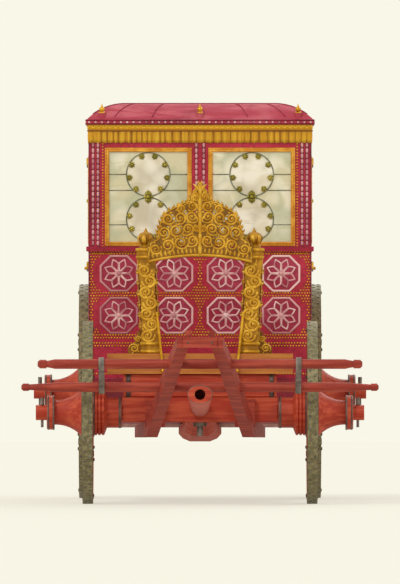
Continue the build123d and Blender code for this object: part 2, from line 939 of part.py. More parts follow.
def rear_post(side):
    """One standard, cut to its front and side outlines and turned at its top."""
    depth = rear_foot_back - rear_axle_y + rear_post_depth
    head = rear_post_z + rear_post_height
    with BuildPart() as post:
        outline = leaning_outline(
            side, rear_foot_back, rear_post_z, rear_post_height, rear_post_foot_x, rear_post_head_x, 8
        )
        extrude(outline, amount=depth)
        side_block(
            side,
            rear_foot_x,
            (rear_foot_back - depth, rear_foot_back),
            (rear_beam_top + gap, rear_post_z + 1),
        )
        extrude(rear_post_side(-body_half), amount=body_width, mode=Mode.INTERSECT)
        turned_finial(side * rear_post_head_x, rear_axle_y, head, 117, finial_r)
    return post.part


def both(make):
    """The two solids of a pair, one on each side, in one piece."""
    with BuildPart() as pair:
        for side in sides:
            add(make(side))
    return pair


keep(both(rear_post), "rear_posts")

# Edge of a crest from its side to its point: share of the half width, share of the height, bulge
crest_steps = [
    (1.0, 0.12, 0),
    (0.80, 0.30, 0.30),
    (0.76, 0.52, 0.12),
    (0.48, 0.69, 0.14),
    (0.18, 0.76, 0.12),
    (0.15, 0.85, 0.16),
    (0.07, 0.90, -0.16),
    (0, 1, 0.14),
]
# Piercings of a crest: share of half width, share of height, length, width, angle
crest_holes = [
    (0.62, 0.235, 62, 28, 80),
    (0.34, 0.265, 76, 30, 80),
    (0.13, 0.285, 66, 24, 90),
    (0.62, 0.395, 66, 28, 100),
    (0.42, 0.425, 72, 30, 120),
    (0.20, 0.455, 76, 28, 75),
    (0.50, 0.555, 56, 24, 45),
    (0.27, 0.605, 62, 26, 60),
    (0.09, 0.655, 58, 20, 90),
]


def crest(y, foot, arch, height):
    """Pierced crest board: an arched foot, scrolled shoulders and a point."""
    half = crest_half
    spring = foot + arch
    points = [(half * u, foot + height * v) for u, v, bulge in crest_steps]
    with BuildPart() as board:
        with BuildSketch(front_plane(y)):
            with BuildLine():
                ThreePointArc((0, spring), (half * 0.55, (foot + 2 * spring) / 3), (half, foot))
                Line((half, foot), points[0])
                for start, end, step in zip(points, points[1:], crest_steps[1:]):
                    dx = end[0] - start[0]
                    dz = end[1] - start[1]
                    bulge = step[2]
                    middle_x = (start[0] + end[0]) / 2 + bulge * dz
                    middle_z = (start[1] + end[1]) / 2 - bulge * dx
                    ThreePointArc(start, (middle_x, middle_z), end)
                mirror(about=Plane.YZ)
            make_face()
            for u, v, length, width, angle in crest_holes:
                for side in sides:
                    with Locations((side * half * u, foot + height * v)):
                        SlotOverall(length, width, rotation=side * angle, mode=Mode.SUBTRACT)
        extrude(amount=crest_thickness)
    return board


rear_crest_y = rear_axle_y + rear_post_depth / 2 + crest_thickness
keep(
    crest(rear_crest_y, rear_post_z + rear_crest_foot, 79, rear_crest_height),
    "rear_crest",
)


# Front axle bed, which turns, and what stands on the fixed bolster

with BuildPart() as front_axle:
    block(
        (-bed_half, bed_half),
        (front_axle_y - beam_depth / 2, front_axle_y + beam_depth / 2),
        (bed_foot, bed_top),
    )
    chamfer(front_axle.edges().filter_by(Axis.X).group_by(Axis.Z)[0], length=beam_bevel)
    axle_arms(front_axle_y, front_axle_z, bed_half, front_half_track)
    with BuildSketch(Plane(origin=(0, front_axle_y, bed_foot), z_dir=(0, 0, 1))):
        Circle(kingpin_r + gap)
    extrude(amount=bed_top - bed_foot, mode=Mode.SUBTRACT)
keep(front_axle, "front_axle")

with BuildPart() as front_linchpins:
    linchpins(front_axle_y, front_axle_z, front_half_track)
keep(front_linchpins, "front_linchpins")

with BuildPart() as kingpin:
    with BuildSketch(Plane(origin=(0, front_axle_y, bed_foot - 88), z_dir=(0, 0, 1))):
        Circle(kingpin_r)
    extrude(amount=bolster_top - gap - bed_foot + 88)
    with BuildSketch(Plane(origin=(0, front_axle_y, bed_foot - gap - 26), z_dir=(0, 0, 1))):
        Circle(2.2 * kingpin_r)
    extrude(amount=26)
keep(kingpin, "kingpin")

with BuildPart() as front_bolster:
    block(
        (-bolster_half, bolster_half),
        (front_axle_y - bolster_depth / 2, front_axle_y + bolster_depth / 2),
        (bolster_foot, bolster_top),
    )
    chamfer(front_bolster.edges().filter_by(Axis.X), length=beam_bevel)
    with BuildSketch(Plane(origin=(0, front_axle_y, bolster_foot), z_dir=(0, 0, 1))):
        Circle(kingpin_r + gap)
    extrude(amount=bolster_height, mode=Mode.SUBTRACT)
keep(front_bolster, "front_bolster")

transom_front = front_axle_y - transom_depth / 2
transom_back = front_axle_y + transom_depth / 2
transom_rail = 0.27 * transom_height
with BuildPart() as front_transom:
    with BuildSketch(side_plane(-transom_half)):
        with BuildLine():
            Line((transom_front, bolster_top), (transom_front, bolster_top + transom_rail))
            ThreePointArc(
                (transom_front, bolster_top + transom_rail),
                (transom_front + 14, bolster_top + transom_height / 2),
                (transom_front, transom_top - transom_rail),
            )
            Polyline(
                (transom_front, transom_top - transom_rail),
                (transom_front, transom_top),
                (transom_back, transom_top),
                (transom_back, bolster_top),
                (transom_front, bolster_top),
            )
        make_face()
    extrude(amount=2 * transom_half)
keep(front_transom, "front_transom")


def front_post(side):
    """One front post with its bulb finial, standing on the transom."""
    back = front_axle_y + front_post_depth / 2
    head = transom_top + front_post_height
    with BuildPart() as post:
        outline = leaning_outline(
            side, back, transom_top, front_post_height, front_post_foot_x, front_post_head_x, 10
        )
        extrude(outline, amount=front_post_depth)
        turned_finial(side * front_post_head_x, front_axle_y, head, 134, finial_r)
    return post.part


keep(both(front_post), "front_posts")
front_crest_y = front_axle_y - front_post_depth / 2
keep(
    crest(front_crest_y, transom_top + front_crest_foot, 42, front_crest_height),
    "front_crest",
)


def front_bracket(side):
    """Scrolled bracket at the foot of a front post."""
    near = side * (front_post_foot_x + post_width / 2 + gap)
    near_head = near + side * (front_post_head_x - front_post_foot_x) * 144 / front_post_height
    far = side * (front_post_foot_x + post_width / 2 + 90)
    middle = side * (front_post_foot_x + post_width / 2 + 44)
    head = side * (front_post_foot_x + post_width / 2 + 34)
    with BuildPart() as bracket:
        with BuildSketch(front_plane(front_axle_y + 30)):
            with BuildLine():
                Polyline(
                    (near_head, transom_top + 144), (near, transom_top),
                    (far, transom_top), (far, transom_top + 40),
                )
                ThreePointArc(
                    (far, transom_top + 40), (middle, transom_top + 70), (head, transom_top + 144)
                )
                Line((head, transom_top + 144), (near_head, transom_top + 144))
            make_face()
        extrude(amount=60)
    return bracket.part


keep(both(front_bracket), "front_brackets")

stay_r = 9.0
knob_r = 16.0


def front_stay(side):
    """Slender iron stay from a post's front down to a knob on the transom."""
    knob = (side * 238, transom_front - knob_r - gap, bolster_top + 20)
    head = (side * 279, front_axle_y - front_post_depth / 2 - stay_r - gap, transom_top + 261)
    run = Vector(*head) - Vector(*knob)
    with BuildPart() as stay:
        with BuildSketch(Plane(origin=knob, z_dir=run)):
            Circle(stay_r)
        extrude(amount=run.length)
        with Locations(knob):
            Sphere(knob_r)
        with Locations(head):
            Sphere(stay_r)
    return stay.part


keep(both(front_stay), "front_stays")


# Leather braces that hang the body from the four posts

brace_width = 60.0
brace_thickness = 12.0
brace_foot_z = wall_foot_z + 70


def brace(side, end):
    """One brace from a post down to the foot of an end wall."""
    if end < 0:
        post_y = front_axle_y + front_post_depth / 2 + gap
        wall_y = body_front_y - gap
        head_z = transom_top + 0.84 * front_post_height
        x = side * (front_post_head_x - 8)
    else:
        post_y = rear_axle_y - rear_post_depth / 2 - gap
        wall_y = body_rear_y + gap
        head_z = rear_post_z + 0.80 * rear_post_height
        x = side * (rear_post_head_x - 12)
    slope = (head_z - brace_foot_z) / abs(post_y - wall_y)
    rise = brace_thickness * hypot(1, slope)
    with BuildPart() as strap:
        with BuildSketch(side_plane(x - brace_width / 2)):
            with BuildLine():
                Polyline(
                    (wall_y, brace_foot_z), (post_y, head_z),
                    (post_y, head_z + rise), (wall_y, brace_foot_z + rise),
                    close=True,
                )
            make_face()
        extrude(amount=brace_width)
    return strap.part


with BuildPart() as braces:
    for side in sides:
        for end in sides:
            add(brace(side, end))
keep(braces, "braces")


# Crimson sash looped across the rear wall, and the hooks that hold it

sash_r = 21.0
hook_r = 16.0
sash_y = body_rear_y + 36.0
hook_x = 648.0
hook_z = 1590.0
# Route of the sash from a hook in to the middle: X, Z
sash_half = [(hook_x - 11.4, hook_z - 11.6), (540, 1480), (395, 1395), (215, 1345), (70, 1330)]
sash_points = [(-x, sash_y, z) for x, z in sash_half] + [(x, sash_y, z) for x, z in sash_half[::-1]]


def corner_radii(points):
    """Radius at each corner: 0.45 of the shorter run over the tangent of half the turn."""
    radii = []
    for before, here, after in zip(points, points[1:], points[2:]):
        run_in = Vector(*here) - Vector(*before)
        run_out = Vector(*after) - Vector(*here)
        half_turn = radians(run_in.get_angle(run_out)) / 2
        shorter = min(run_in.length, run_out.length)
        radii.append(0.45 * shorter * cos(half_turn) / sin(half_turn))
    return radii


sash_radii = corner_radii(sash_points)
print("sash radii", [round(radius) for radius in sash_radii])
with BuildPart() as sash:
    with BuildLine() as sash_path:
        FilletPolyline(*sash_points, radius=sash_radii)
    with BuildSketch(Plane(origin=sash_path.line @ 0, z_dir=sash_path.line % 0)):
        Circle(sash_r)
    sweep()
keep(sash, "sash")
print("sash length", round(sash_path.wires()[0].length), "volume", round(sash.part.volume))

with BuildPart() as sash_hooks:
    for side in sides:
        with BuildSketch(Plane(origin=(side * hook_x, body_rear_y, hook_z), z_dir=(0, 1, 0))):
            Circle(30)
        extrude(amount=8)
        with BuildSketch(Plane(origin=(side * hook_x, body_rear_y, hook_z), z_dir=(0, 1, 0))):
            Circle(hook_r)
        extrude(amount=sash_y + sash_r - body_rear_y)
keep(sash_hooks, "sash_hooks")


# Draught gear ahead of the front wheels, turning with the front axle

fork_tail_x = 385.0
fork_head_x = 110.0
fork_tail_y = front_axle_y + fork_tail
fork_head_y = front_axle_y - fork_reach
fork_angle = degrees(atan2(fork_tail_x - fork_head_x, fork_tail_y - fork_head_y))
fork_length = hypot(fork_tail_x - fork_head_x, fork_tail_y - fork_head_y)
lower_bar_y = front_axle_y - lower_bar_out
upper_bar_y = front_axle_y - upper_bar_out
fork_head_z = 1045.0
fork_bed_z = bed_foot - fork_depth / 2 - gap
crossbar_foot = fork_head_z - fork_head_half
crossbar_top = fork_head_z + fork_head_half


def fork_leg(side):
    """One curved leg, low behind the axle and rising forward to the crossbar."""
    lean = radians(fork_angle) * side
    plane = Plane(
        origin=(side * fork_tail_x, fork_tail_y, 0),
        x_dir=(-sin(lean), -cos(lean), 0),
        z_dir=(-cos(lean), sin(lean), 0),
    )
    along = cos(lean)
    bed_u = (fork_tail_y - front_axle_y) / along
    low_u = (fork_tail_y - lower_bar_y) / along
    high_u = (fork_tail_y - upper_bar_y) / along
    half = fork_depth / 2
    # Centre of the leg: distance along it, height, half depth
    stations = [
        (0.0, fork_bed_z - 20, half * 0.7),
        (bed_u - 120, fork_bed_z, half),
        (bed_u + 120, fork_bed_z, half),
        (low_u, lower_bar_z - 20, half * 1.15),
        (high_u, upper_bar_z - 6, half * 0.95),
        (fork_length, fork_head_z, fork_head_half),
    ]
    top = [(u, z + depth) for u, z, depth in stations]
    foot = [(u, z - depth) for u, z, depth in stations]
    with BuildPart() as leg:
        with BuildSketch(plane.offset(-fork_width / 2)):
            with BuildLine():
                Polyline(*top, *foot[::-1], close=True)
            make_face()
        extrude(amount=fork_width)
    return leg.part


with BuildPart() as draught_fork:
    for side in sides:
        add(fork_leg(side))
        foot_back = front_axle_y - beam_depth / 2 - gap
        side_block(
            side,
            (fork_foot_x - fork_foot_width / 2, fork_foot_x + fork_foot_width / 2),
            (foot_back - fork_foot_depth, foot_back),
            (bed_foot - gap - 30, bed_top - beam_bevel),
        )
    crossbar_y = fork_head_y + crossbar_depth / 2 - 8
    block(
        (-fork_head_x, fork_head_x),
        (crossbar_y - crossbar_depth / 2, crossbar_y + crossbar_depth / 2),
        (crossbar_foot, crossbar_top),
    )
    for side in sides:
        with BuildSketch(Plane(origin=(side * 75, crossbar_y, crossbar_top), z_dir=(0, 0, 1))):
            Circle(harness_pin_r)
        extrude(amount=harness_pin_height)
    for y, z in ((lower_bar_y, lower_bar_z), (upper_bar_y, upper_bar_z)):
        with BuildSketch(Plane(origin=(-500, y, z), z_dir=(1, 0, 0))):
            Circle(bar_r + gap)
        extrude(amount=1000, mode=Mode.SUBTRACT)
keep(draught_fork, "draught_fork")


def round_bar(y, z, half, tip_length, tip_r):
    """A round bar across the coach that narrows to a small knob at each tip."""
    with BuildPart() as bar:
        with BuildSketch(Plane(origin=(0, y, z), x_dir=(1, 0, 0), z_dir=(0, -1, 0))):
            neck = half - 2 * tip_r
            with BuildLine():
                Polyline(
                    (half, 0), (-half, 0), (-half, 0.5 * tip_r), (-half + 0.5 * tip_r, tip_r),
                    (-neck, tip_r), (-neck, 0.78 * tip_r), (-neck + 10, 0.78 * tip_r),
                    (-half + tip_length, bar_r), (half - tip_length, bar_r),
                    (neck - 10, 0.78 * tip_r), (neck, 0.78 * tip_r), (neck, tip_r),
                    (half - 0.5 * tip_r, tip_r), (half, 0.5 * tip_r), close=True,
                )
            make_face()
        revolve(axis=Axis((0, y, z), (1, 0, 0)))
    return bar


keep(round_bar(lower_bar_y, lower_bar_z, lower_bar_half, 230, 24), "lower_bar")
keep(round_bar(upper_bar_y, upper_bar_z, upper_bar_half, 110, 28), "upper_bar")


def bar_strap(side):
    """Iron strap with an eye round each bar."""
    rise = Vector(0, upper_bar_y - lower_bar_y, upper_bar_z - lower_bar_z)
    centres = ((lower_bar_y, lower_bar_z), (upper_bar_y, upper_bar_z))
    middle = ((lower_bar_y + upper_bar_y) / 2, (lower_bar_z + upper_bar_z) / 2)
    with BuildPart() as strap:
        with BuildSketch(side_plane(side * strap_x - 18)):
            with Locations(*centres):
                Circle(bar_r + 12)
            with Locations(middle):
                Rectangle(rise.length, 22, rotation=degrees(atan2(rise.Z, rise.Y)))
            with Locations(*centres):
                Circle(bar_r + gap, mode=Mode.SUBTRACT)
        extrude(amount=36)
    return strap.part


keep(both(bar_strap), "bar_straps")

pole_head_z = 714.0
# Each station of the pole: distance ahead of the axle, height, width, depth
pole_stations = [
    (beam_depth / 2 + gap, bed_top - 70, 120, 112),
    (0.5 * front_reach, bed_top - 20, 140, 114),
    (front_reach, pole_head_z, 155, 112),
]
pole_bore_r = 34.0
pole_bore_depth = 260.0

with BuildPart() as pole_head:
    for out, z, width, depth in pole_stations:
        with BuildSketch(Plane(origin=(0, front_axle_y - out, z), x_dir=(1, 0, 0), z_dir=(0, -1, 0))):
            Ellipse(width / 2, depth / 2)
    loft(ruled=True)
    with BuildSketch(front_plane(front_axle_y - front_reach)):
        with Locations((0, pole_head_z)):
            Circle(pole_bore_r)
    extrude(amount=-pole_bore_depth, mode=Mode.SUBTRACT)
keep(pole_head, "pole_head")
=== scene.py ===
# %% [markdown]
# # A closed state coach, dressed around its construction model
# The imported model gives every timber, wheel and wall at its real size. This lesson loads it and adds what
# the trimmer, carver and gilder add: nails, braid, fringe, carving, mica leading, cushions and paint.
# All lengths are in metres. X runs across the coach, the front faces -Y and the wheels stand on Z = 0.

# %% Load the frame
import json
import math
import bmesh
import bpy
import numpy as np
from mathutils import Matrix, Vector

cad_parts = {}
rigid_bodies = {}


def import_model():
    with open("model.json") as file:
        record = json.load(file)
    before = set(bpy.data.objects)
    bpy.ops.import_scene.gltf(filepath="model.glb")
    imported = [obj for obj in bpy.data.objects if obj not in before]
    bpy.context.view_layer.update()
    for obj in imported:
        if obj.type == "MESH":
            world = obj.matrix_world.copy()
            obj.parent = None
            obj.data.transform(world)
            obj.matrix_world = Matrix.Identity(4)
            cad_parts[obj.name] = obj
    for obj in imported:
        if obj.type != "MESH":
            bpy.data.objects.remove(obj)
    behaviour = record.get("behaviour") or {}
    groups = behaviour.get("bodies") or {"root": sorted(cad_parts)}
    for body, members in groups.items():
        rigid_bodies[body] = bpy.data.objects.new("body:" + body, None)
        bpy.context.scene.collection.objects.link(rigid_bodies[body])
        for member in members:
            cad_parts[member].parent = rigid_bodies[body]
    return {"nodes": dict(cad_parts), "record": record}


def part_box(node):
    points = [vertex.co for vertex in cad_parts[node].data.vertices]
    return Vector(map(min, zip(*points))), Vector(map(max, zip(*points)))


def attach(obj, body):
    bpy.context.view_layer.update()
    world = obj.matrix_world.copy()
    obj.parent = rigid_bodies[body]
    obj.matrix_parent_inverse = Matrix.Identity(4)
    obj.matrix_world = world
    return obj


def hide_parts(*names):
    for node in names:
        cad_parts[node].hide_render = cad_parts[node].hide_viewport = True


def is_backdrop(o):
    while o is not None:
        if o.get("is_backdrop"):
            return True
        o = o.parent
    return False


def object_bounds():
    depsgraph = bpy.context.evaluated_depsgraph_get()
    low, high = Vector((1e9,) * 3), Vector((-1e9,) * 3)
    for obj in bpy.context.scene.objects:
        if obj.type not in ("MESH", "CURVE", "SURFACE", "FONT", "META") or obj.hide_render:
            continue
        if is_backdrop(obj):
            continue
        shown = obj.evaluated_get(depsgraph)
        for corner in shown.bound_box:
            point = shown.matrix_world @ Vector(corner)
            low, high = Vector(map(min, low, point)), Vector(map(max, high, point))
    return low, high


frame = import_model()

nodes = frame["nodes"]
cad_low, cad_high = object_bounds()
scene = bpy.context.scene
chance = np.random.default_rng(1671)


def linked(name, data):
    """A new object of a camera, lamp, mesh or curve, in the scene."""
    made = bpy.data.objects.new(name, data)
    scene.collection.objects.link(made)
    return made


print("construction box", [round(v, 3) for v in cad_low], [round(v, 3) for v in cad_high])

# %% [markdown]
# ## The view
# The plate is an elevation: it has no vanishing lines. A very long lens far away comes within five percent
# of that and, unlike an orthographic camera, still frames the coach when other views move it.

# %% Camera
image_height_px = 584.0
coach_width_px = 352.0
ground_line_px = 502.0
camera_distance = 100.0
sensor_side = 36.0

metres_per_px = (cad_high[0] - cad_low[0]) / coach_width_px
body_front_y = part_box("front_wall")[0][1]
eye_z = (ground_line_px - image_height_px / 2) * metres_per_px
camera_data = bpy.data.cameras.new("elevation view")
camera_data.sensor_width = sensor_side
camera_data.lens = sensor_side * camera_distance / (image_height_px * metres_per_px)
camera_data.clip_end = 3 * camera_distance
camera = linked("elevation view", camera_data)
camera.location = (0, body_front_y - camera_distance, eye_z)
camera.rotation_euler = (math.pi / 2, 0, 0)
scene.camera = camera
scene.view_settings.view_transform = "Standard"
print("lens", round(camera_data.lens), "mm,", round(1000 * metres_per_px, 2), "mm to a pixel")

# %% [markdown]
# ## Shader maths as Python
# A shader is a formula. One small class wraps a socket and overloads + - * so that the formula can be
# written as one. A finish keeps the tree of one material, and its `node` makes any other node from its
# settings and from the values or links of its inputs.


# %% Socket class and finish class
class Sock:
    """A value in a shader tree, with arithmetic that adds Math nodes."""

    def __init__(self, tree, socket):
        self.tree = tree
        self.socket = socket

    def math(self, operation, *others):
        """A Math node of this value and the others."""
        made = self.tree.nodes.new("ShaderNodeMath")
        made.operation = operation
        for slot, value in zip(made.inputs, (self, *others)):
            plug(self.tree, slot, value)
        return Sock(self.tree, made.outputs[0])

    def __add__(self, other):
        return self.math("ADD", other)

    def __sub__(self, other):
        return self.math("SUBTRACT", other)

    def __mul__(self, other):
        return self.math("MULTIPLY", other)

    def __rsub__(self, other):
        return self * -1.0 + other

    __radd__ = __add__
    __rmul__ = __mul__

    def step(self, low, high):
        """0 below low, 1 above high and smooth between; the other way round where low is above high."""
        made = self.tree.nodes.new("ShaderNodeMapRange")
        made.interpolation_type = "SMOOTHSTEP"
        for name, value in (("Value", self), ("From Min", low), ("From Max", high)):
            plug(self.tree, made.inputs[name], value)
        return Sock(self.tree, made.outputs[0])


def plug(tree, slot, value):
    """Link a Sock to an input, or set the input to a plain value."""
    if isinstance(value, Sock):
        tree.links.new(value.socket, slot)
    elif slot.type == "RGBA":
        slot.default_value = (*value, 1.0)
    else:
        slot.default_value = value


class Finish:
    """A material in the making: one Principled shader and what feeds it."""

    def __init__(self, name, **constants):
        self.material = bpy.data.materials.new(name)
        self.material.use_nodes = True
        self.tree = self.material.node_tree
        self.shader = self.tree.nodes["Principled BSDF"]
        self.place = self.node("TexCoord", out="Object")
        self.set(**constants)

    def node(self, kind, settings=(), out=0, **inputs):
        """Any other node, from its settings and the values or links of its inputs."""
        made = self.tree.nodes.new("ShaderNode" + kind)
        for name, value in dict(settings).items():
            setattr(made, name, value)
        for name, value in inputs.items():
            plug(self.tree, made.inputs[name.replace("_", " ")], value)
        return Sock(self.tree, made.outputs[out])

    def set(self, **inputs):
        """Values or links of the Principled shader's own inputs."""
        for name, value in inputs.items():
            plug(self.tree, self.shader.inputs[name.replace("_", " ")], value)

    def mix(self, mask, low, high):
        """The colour low where the mask is 0 and high where it is 1."""
        made = self.tree.nodes.new("ShaderNodeMix")
        made.data_type = "RGBA"
        for index, value in ((0, mask), (6, low), (7, high)):
            plug(self.tree, made.inputs[index], value)
        return Sock(self.tree, made.outputs[2])

    def noise(self, scale, detail, where=None, distortion=0.0):
        """Smooth noise from 0 to 1 over the object's coordinates."""
        return self.node(
            "TexNoise", Vector=where or self.place, Scale=scale, Detail=detail, Distortion=distortion
        )

    def cells(self, scale):
        """The distance to the middle of the nearest cell."""
        return self.node("TexVoronoi", Vector=self.place, Scale=scale)

    def scaled(self, x, y, z):
        """Object coordinates scaled along each axis, for grain and brush marks."""
        return self.node("Mapping", Vector=self.place, Scale=(x, y, z))

    def axis(self, index):
        """One object coordinate: 0 for X, 1 for Y and 2 for Z."""
        return self.node("SeparateXYZ", out=index, Vector=self.place)

    def attribute(self, name):
        """A value that the mesh keeps for each point."""
        return self.node("Attribute", {"attribute_name": name}, out="Fac")

    def bump(self, height, distance):
        """Relief of a height from 0 to 1, this many metres deep."""
        self.set(Normal=self.node("Bump", Height=height, Distance=distance))


def rgb(red, green, blue):
    """Screen values from 0 to 255, turned to the linear values that shaders use."""
    return tuple(((v / 255 + 0.055) / 1.055) ** 2.4 for v in (red, green, blue))


# %% [markdown]
# ## Studio
# Three broad suns and a white sky light every side at a level where a colour renders about as written.
# The cream of the plate is only shown to the camera, to gloss and through glass. The floor mixes that
# cream with a lit surface, so that it keeps the coach's shadow.

# %% Sky, suns and floor
paper = rgb(249, 247, 232)
sky_level = 0.62
floor_glow = 0.55
floor_half = 40.0


def shown(tree):
    """1 for camera, glossy and transmitted rays, which see the paper colour."""
    rays = tree.nodes.new("ShaderNodeLightPath")
    total = Sock(tree, rays.outputs["Is Camera Ray"])
    for name in ("Is Glossy Ray", "Is Transmission Ray"):
        total = total.math("MAXIMUM", Sock(tree, rays.outputs[name]))
    return total


def either(tree, lit, seen, share, output):
    """Send the lit shader to the output where share is 0 and the seen one where it is 1."""
    choice = tree.nodes.new("ShaderNodeMixShader")
    plug(tree, choice.inputs[0], share)
    tree.links.new(lit.outputs[0], choice.inputs[1])
    tree.links.new(seen.outputs[0], choice.inputs[2])
    tree.links.new(choice.outputs[0], tree.nodes[output].inputs["Surface"])


world = bpy.data.worlds.new("studio sky")
world.use_nodes = True
scene.world = world
sky = world.node_tree
lit = sky.nodes["Background"]
lit.inputs["Color"].default_value = (1, 1, 1, 1)
lit.inputs["Strength"].default_value = sky_level
seen = sky.nodes.new("ShaderNodeBackground")
seen.inputs["Color"].default_value = (*paper, 1)
either(sky, lit, seen, shown(sky), "World Output")

# Each sun: name, where it stands seen from the coach, strength, width of its disc in radians
suns = [
    ("key sun", (-5, -7, 8), 1.15, 0.35),
    ("fill sun", (7, -6, 4), 0.35, 0.8),
    ("back sun", (2, 9, 6), 0.75, 0.6),
]
for name, place, strength, disc in suns:
    data = bpy.data.lights.new(name, "SUN")
    data.energy = strength
    data.angle = disc
    sun = linked(name, data)
    sun.location = place
    sun.rotation_euler = Vector(place).to_track_quat("Z", "Y").to_euler()

floor_mesh = bpy.data.meshes.new("studio floor")
corners = [(x * floor_half, y * floor_half, 0) for x, y in ((-1, -1), (1, -1), (1, 1), (-1, 1))]
floor_mesh.from_pydata(corners, [], [(0, 1, 2, 3)])
studio_floor = linked("studio_floor", floor_mesh)
studio_floor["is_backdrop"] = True

floor_finish = Finish("floor paper", Base_Color=rgb(236, 232, 216), Roughness=0.9)
floor_tree = floor_finish.tree
glow = floor_tree.nodes.new("ShaderNodeEmission")
glow.inputs["Color"].default_value = (*paper, 1)
either(floor_tree, floor_finish.shader, glow, shown(floor_tree) * floor_glow, "Material Output")
floor_mesh.materials.append(floor_finish.material)
print("suns", len(suns), "floor", 2 * floor_half, "m square")

# %% [markdown]
# ## Finishes of the body
# The walls are crimson leather stretched over boards. Leather is not one red: the dye lies darker in the
# pores, and the hide has cloudy patches. Cells give the pores, slow noise the clouds. The roof is velvet,
# whose pile catches light in long soft strokes; these are painted highlights from noise stretched one way.

# %% Crimson leather, velvet and cloth
def leather(name, dark, main, light, grain=0.0009, roughness=0.42):
    """Dyed hide: pores from cells, clouds from slow noise, a polished bloom on the high ground."""
    f = Finish(name, Coat_Roughness=0.35, Specular_IOR_Level=0.35)
    pores = f.cells(420.0)
    clouds = f.noise(5.0, 4.0)
    fine = f.noise(60.0, 3.0)
    colour = f.mix(clouds.step(0.36, 0.66), main, light)
    colour = f.mix(fine.step(0.46, 0.68) * 0.45, colour, dark)
    colour = f.mix(pores.step(0.35, 0.0) * 0.35, colour, dark)
    f.set(Base_Color=colour, Roughness=roughness + fine * 0.16, Coat_Weight=clouds * 0.12)
    f.bump(pores * 0.7 + fine * 0.6, grain)
    return f.material


def velvet(name, dark, main, light, pull):
    """Short pile: long soft strokes of painted highlight, and a sheen at grazing angles."""
    f = Finish(name, Roughness=0.78, Sheen_Weight=0.55, Sheen_Roughness=0.4, Sheen_Tint=light)
    strokes = f.noise(1.0, 2.0, f.scaled(*pull), 1.4)
    pile = f.noise(900.0, 2.0)
    clouds = f.noise(7.0, 3.0)
    # Painted highlight: lighter strokes where the pile would catch the light
    colour = f.mix(strokes.step(0.40, 0.62), main, light)
    colour = f.mix(clouds.step(0.52, 0.75) * 0.5, colour, dark)
    colour = f.mix(pile.step(0.5, 0.75) * 0.35, colour, dark)
    f.set(Base_Color=colour)
    f.bump(pile + clouds * 2.0, 0.0012)
    return f.material


finish = {}
finish["crimson_leather"] = leather("crimson leather", rgb(118, 12, 34), rgb(172, 28, 52), rgb(190, 40, 66))
finish["crimson_velvet"] = velvet(
    "roof velvet", rgb(138, 30, 50), rgb(178, 56, 72), rgb(200, 92, 102), (2.2, 5.5, 8.0)
)
finish["brace_leather"] = leather(
    "brace leather", rgb(58, 20, 20), rgb(96, 34, 34), rgb(128, 50, 46), 0.0014, 0.5
)
finish["red_rail"] = leather("rail leather", rgb(86, 4, 26), rgb(138, 8, 38), rgb(166, 18, 50), 0.0006)
print("finishes so far", ", ".join(finish))

# %% [markdown]
# ## Painted and gilded wood
# Vermilion oil paint lies in brush strokes along each timber and is rubbed darker in soft patches. Gilding
# is thin metal over red clay: bright where it was burnished, and the clay shows through in specks. Carved
# pieces carry a `depth` attribute, 0 in the hollows and 1 on a ridge, and their gold takes painted
# shade where it is low.

# %% Vermilion, pale wood and gilding
def painted(name, dark, main, light, along):
    """Oil paint: strokes along the timber, small chips down to the dark ground coat."""
    f = Finish(name, Specular_IOR_Level=0.28)
    strokes = f.noise(1.0, 3.0, f.scaled(*along))
    clouds = f.noise(6.0, 3.0)
    chips = f.noise(46.0, 4.0)
    colour = f.mix(strokes.step(0.38, 0.66), main, light)
    colour = f.mix(clouds.step(0.50, 0.76) * 0.32, colour, dark)
    worn = chips.step(0.685, 0.72)
    colour = f.mix(worn * 0.8, colour, dark)
    f.set(Base_Color=colour, Roughness=0.5 + strokes * 0.12)
    f.bump(strokes * 0.8 + chips * 0.4 - worn * 0.7, 0.0011)
    return f.material


def gilding(name, clay_and_shade, main, bright, metal, attribute=None, roughness=0.34):
    """Gold leaf: burnished clouds, specks of clay and, where an attribute is given, painted shade in the
    recesses.
    """
    f = Finish(name, Specular_IOR_Level=0.3)
    clouds = f.noise(16.0, 4.0)
    fine = f.noise(120.0, 3.0)
    colour = f.mix(clouds.step(0.38, 0.64), main, bright)
    # Painted shade: where the attribute is low, the gold is pulled to the dark colour, as in a recess
    if attribute:
        shaded_recess = f.attribute(attribute).step(0.85, 0.1)
        colour = f.mix(shaded_recess, colour, clay_and_shade)
    clay = fine.step(0.60, 0.72)
    colour = f.mix(clay * 0.5, colour, clay_and_shade)
    f.set(Base_Color=colour, Metallic=metal - clay * metal, Roughness=roughness + clouds * 0.2)
    f.bump(fine + clouds * 0.6, 0.0012)
    return f.material


gold = rgb(196, 140, 24)
gold_bright = rgb(226, 176, 54)
gold_hollow = rgb(134, 84, 10)
finish["vermilion_wood"] = painted(
    "vermilion paint", rgb(108, 26, 16), rgb(172, 56, 34), rgb(196, 84, 54), (3.0, 40.0, 40.0)
)
finish["pale_wood"] = painted(
    "pale rose paint", rgb(168, 120, 116), rgb(214, 172, 164), rgb(230, 198, 190), (30.0, 3.0, 30.0)
)
finish["gilt_wood"] = gilding("gilt wood", gold_hollow, gold, gold_bright, 0.35)
finish["gilt_metal"] = gilding("gilt metal", gold_hollow, gold, gold_bright, 0.7, roughness=0.26)
# Carved gold: painted shade on the flanks of every tube, read from the depth attribute
carved_gold = gilding("carved gilding", rgb(112, 58, 8), gold, gold_bright, 0.25, "depth")
orange_gilt = gilding("orange gilding", rgb(150, 82, 16), rgb(206, 134, 36), rgb(230, 170, 62), 0.25)
# Darker gold on the boards and standards under the carving: painted shade among the carving
shaded_carving_ground = gilding("carving ground", rgb(74, 42, 8), rgb(118, 78, 16), rgb(152, 106, 28), 0.2)
shaded_post_ground = gilding("standard ground", rgb(88, 52, 6), rgb(150, 100, 14), rgb(192, 138, 30), 0.2)
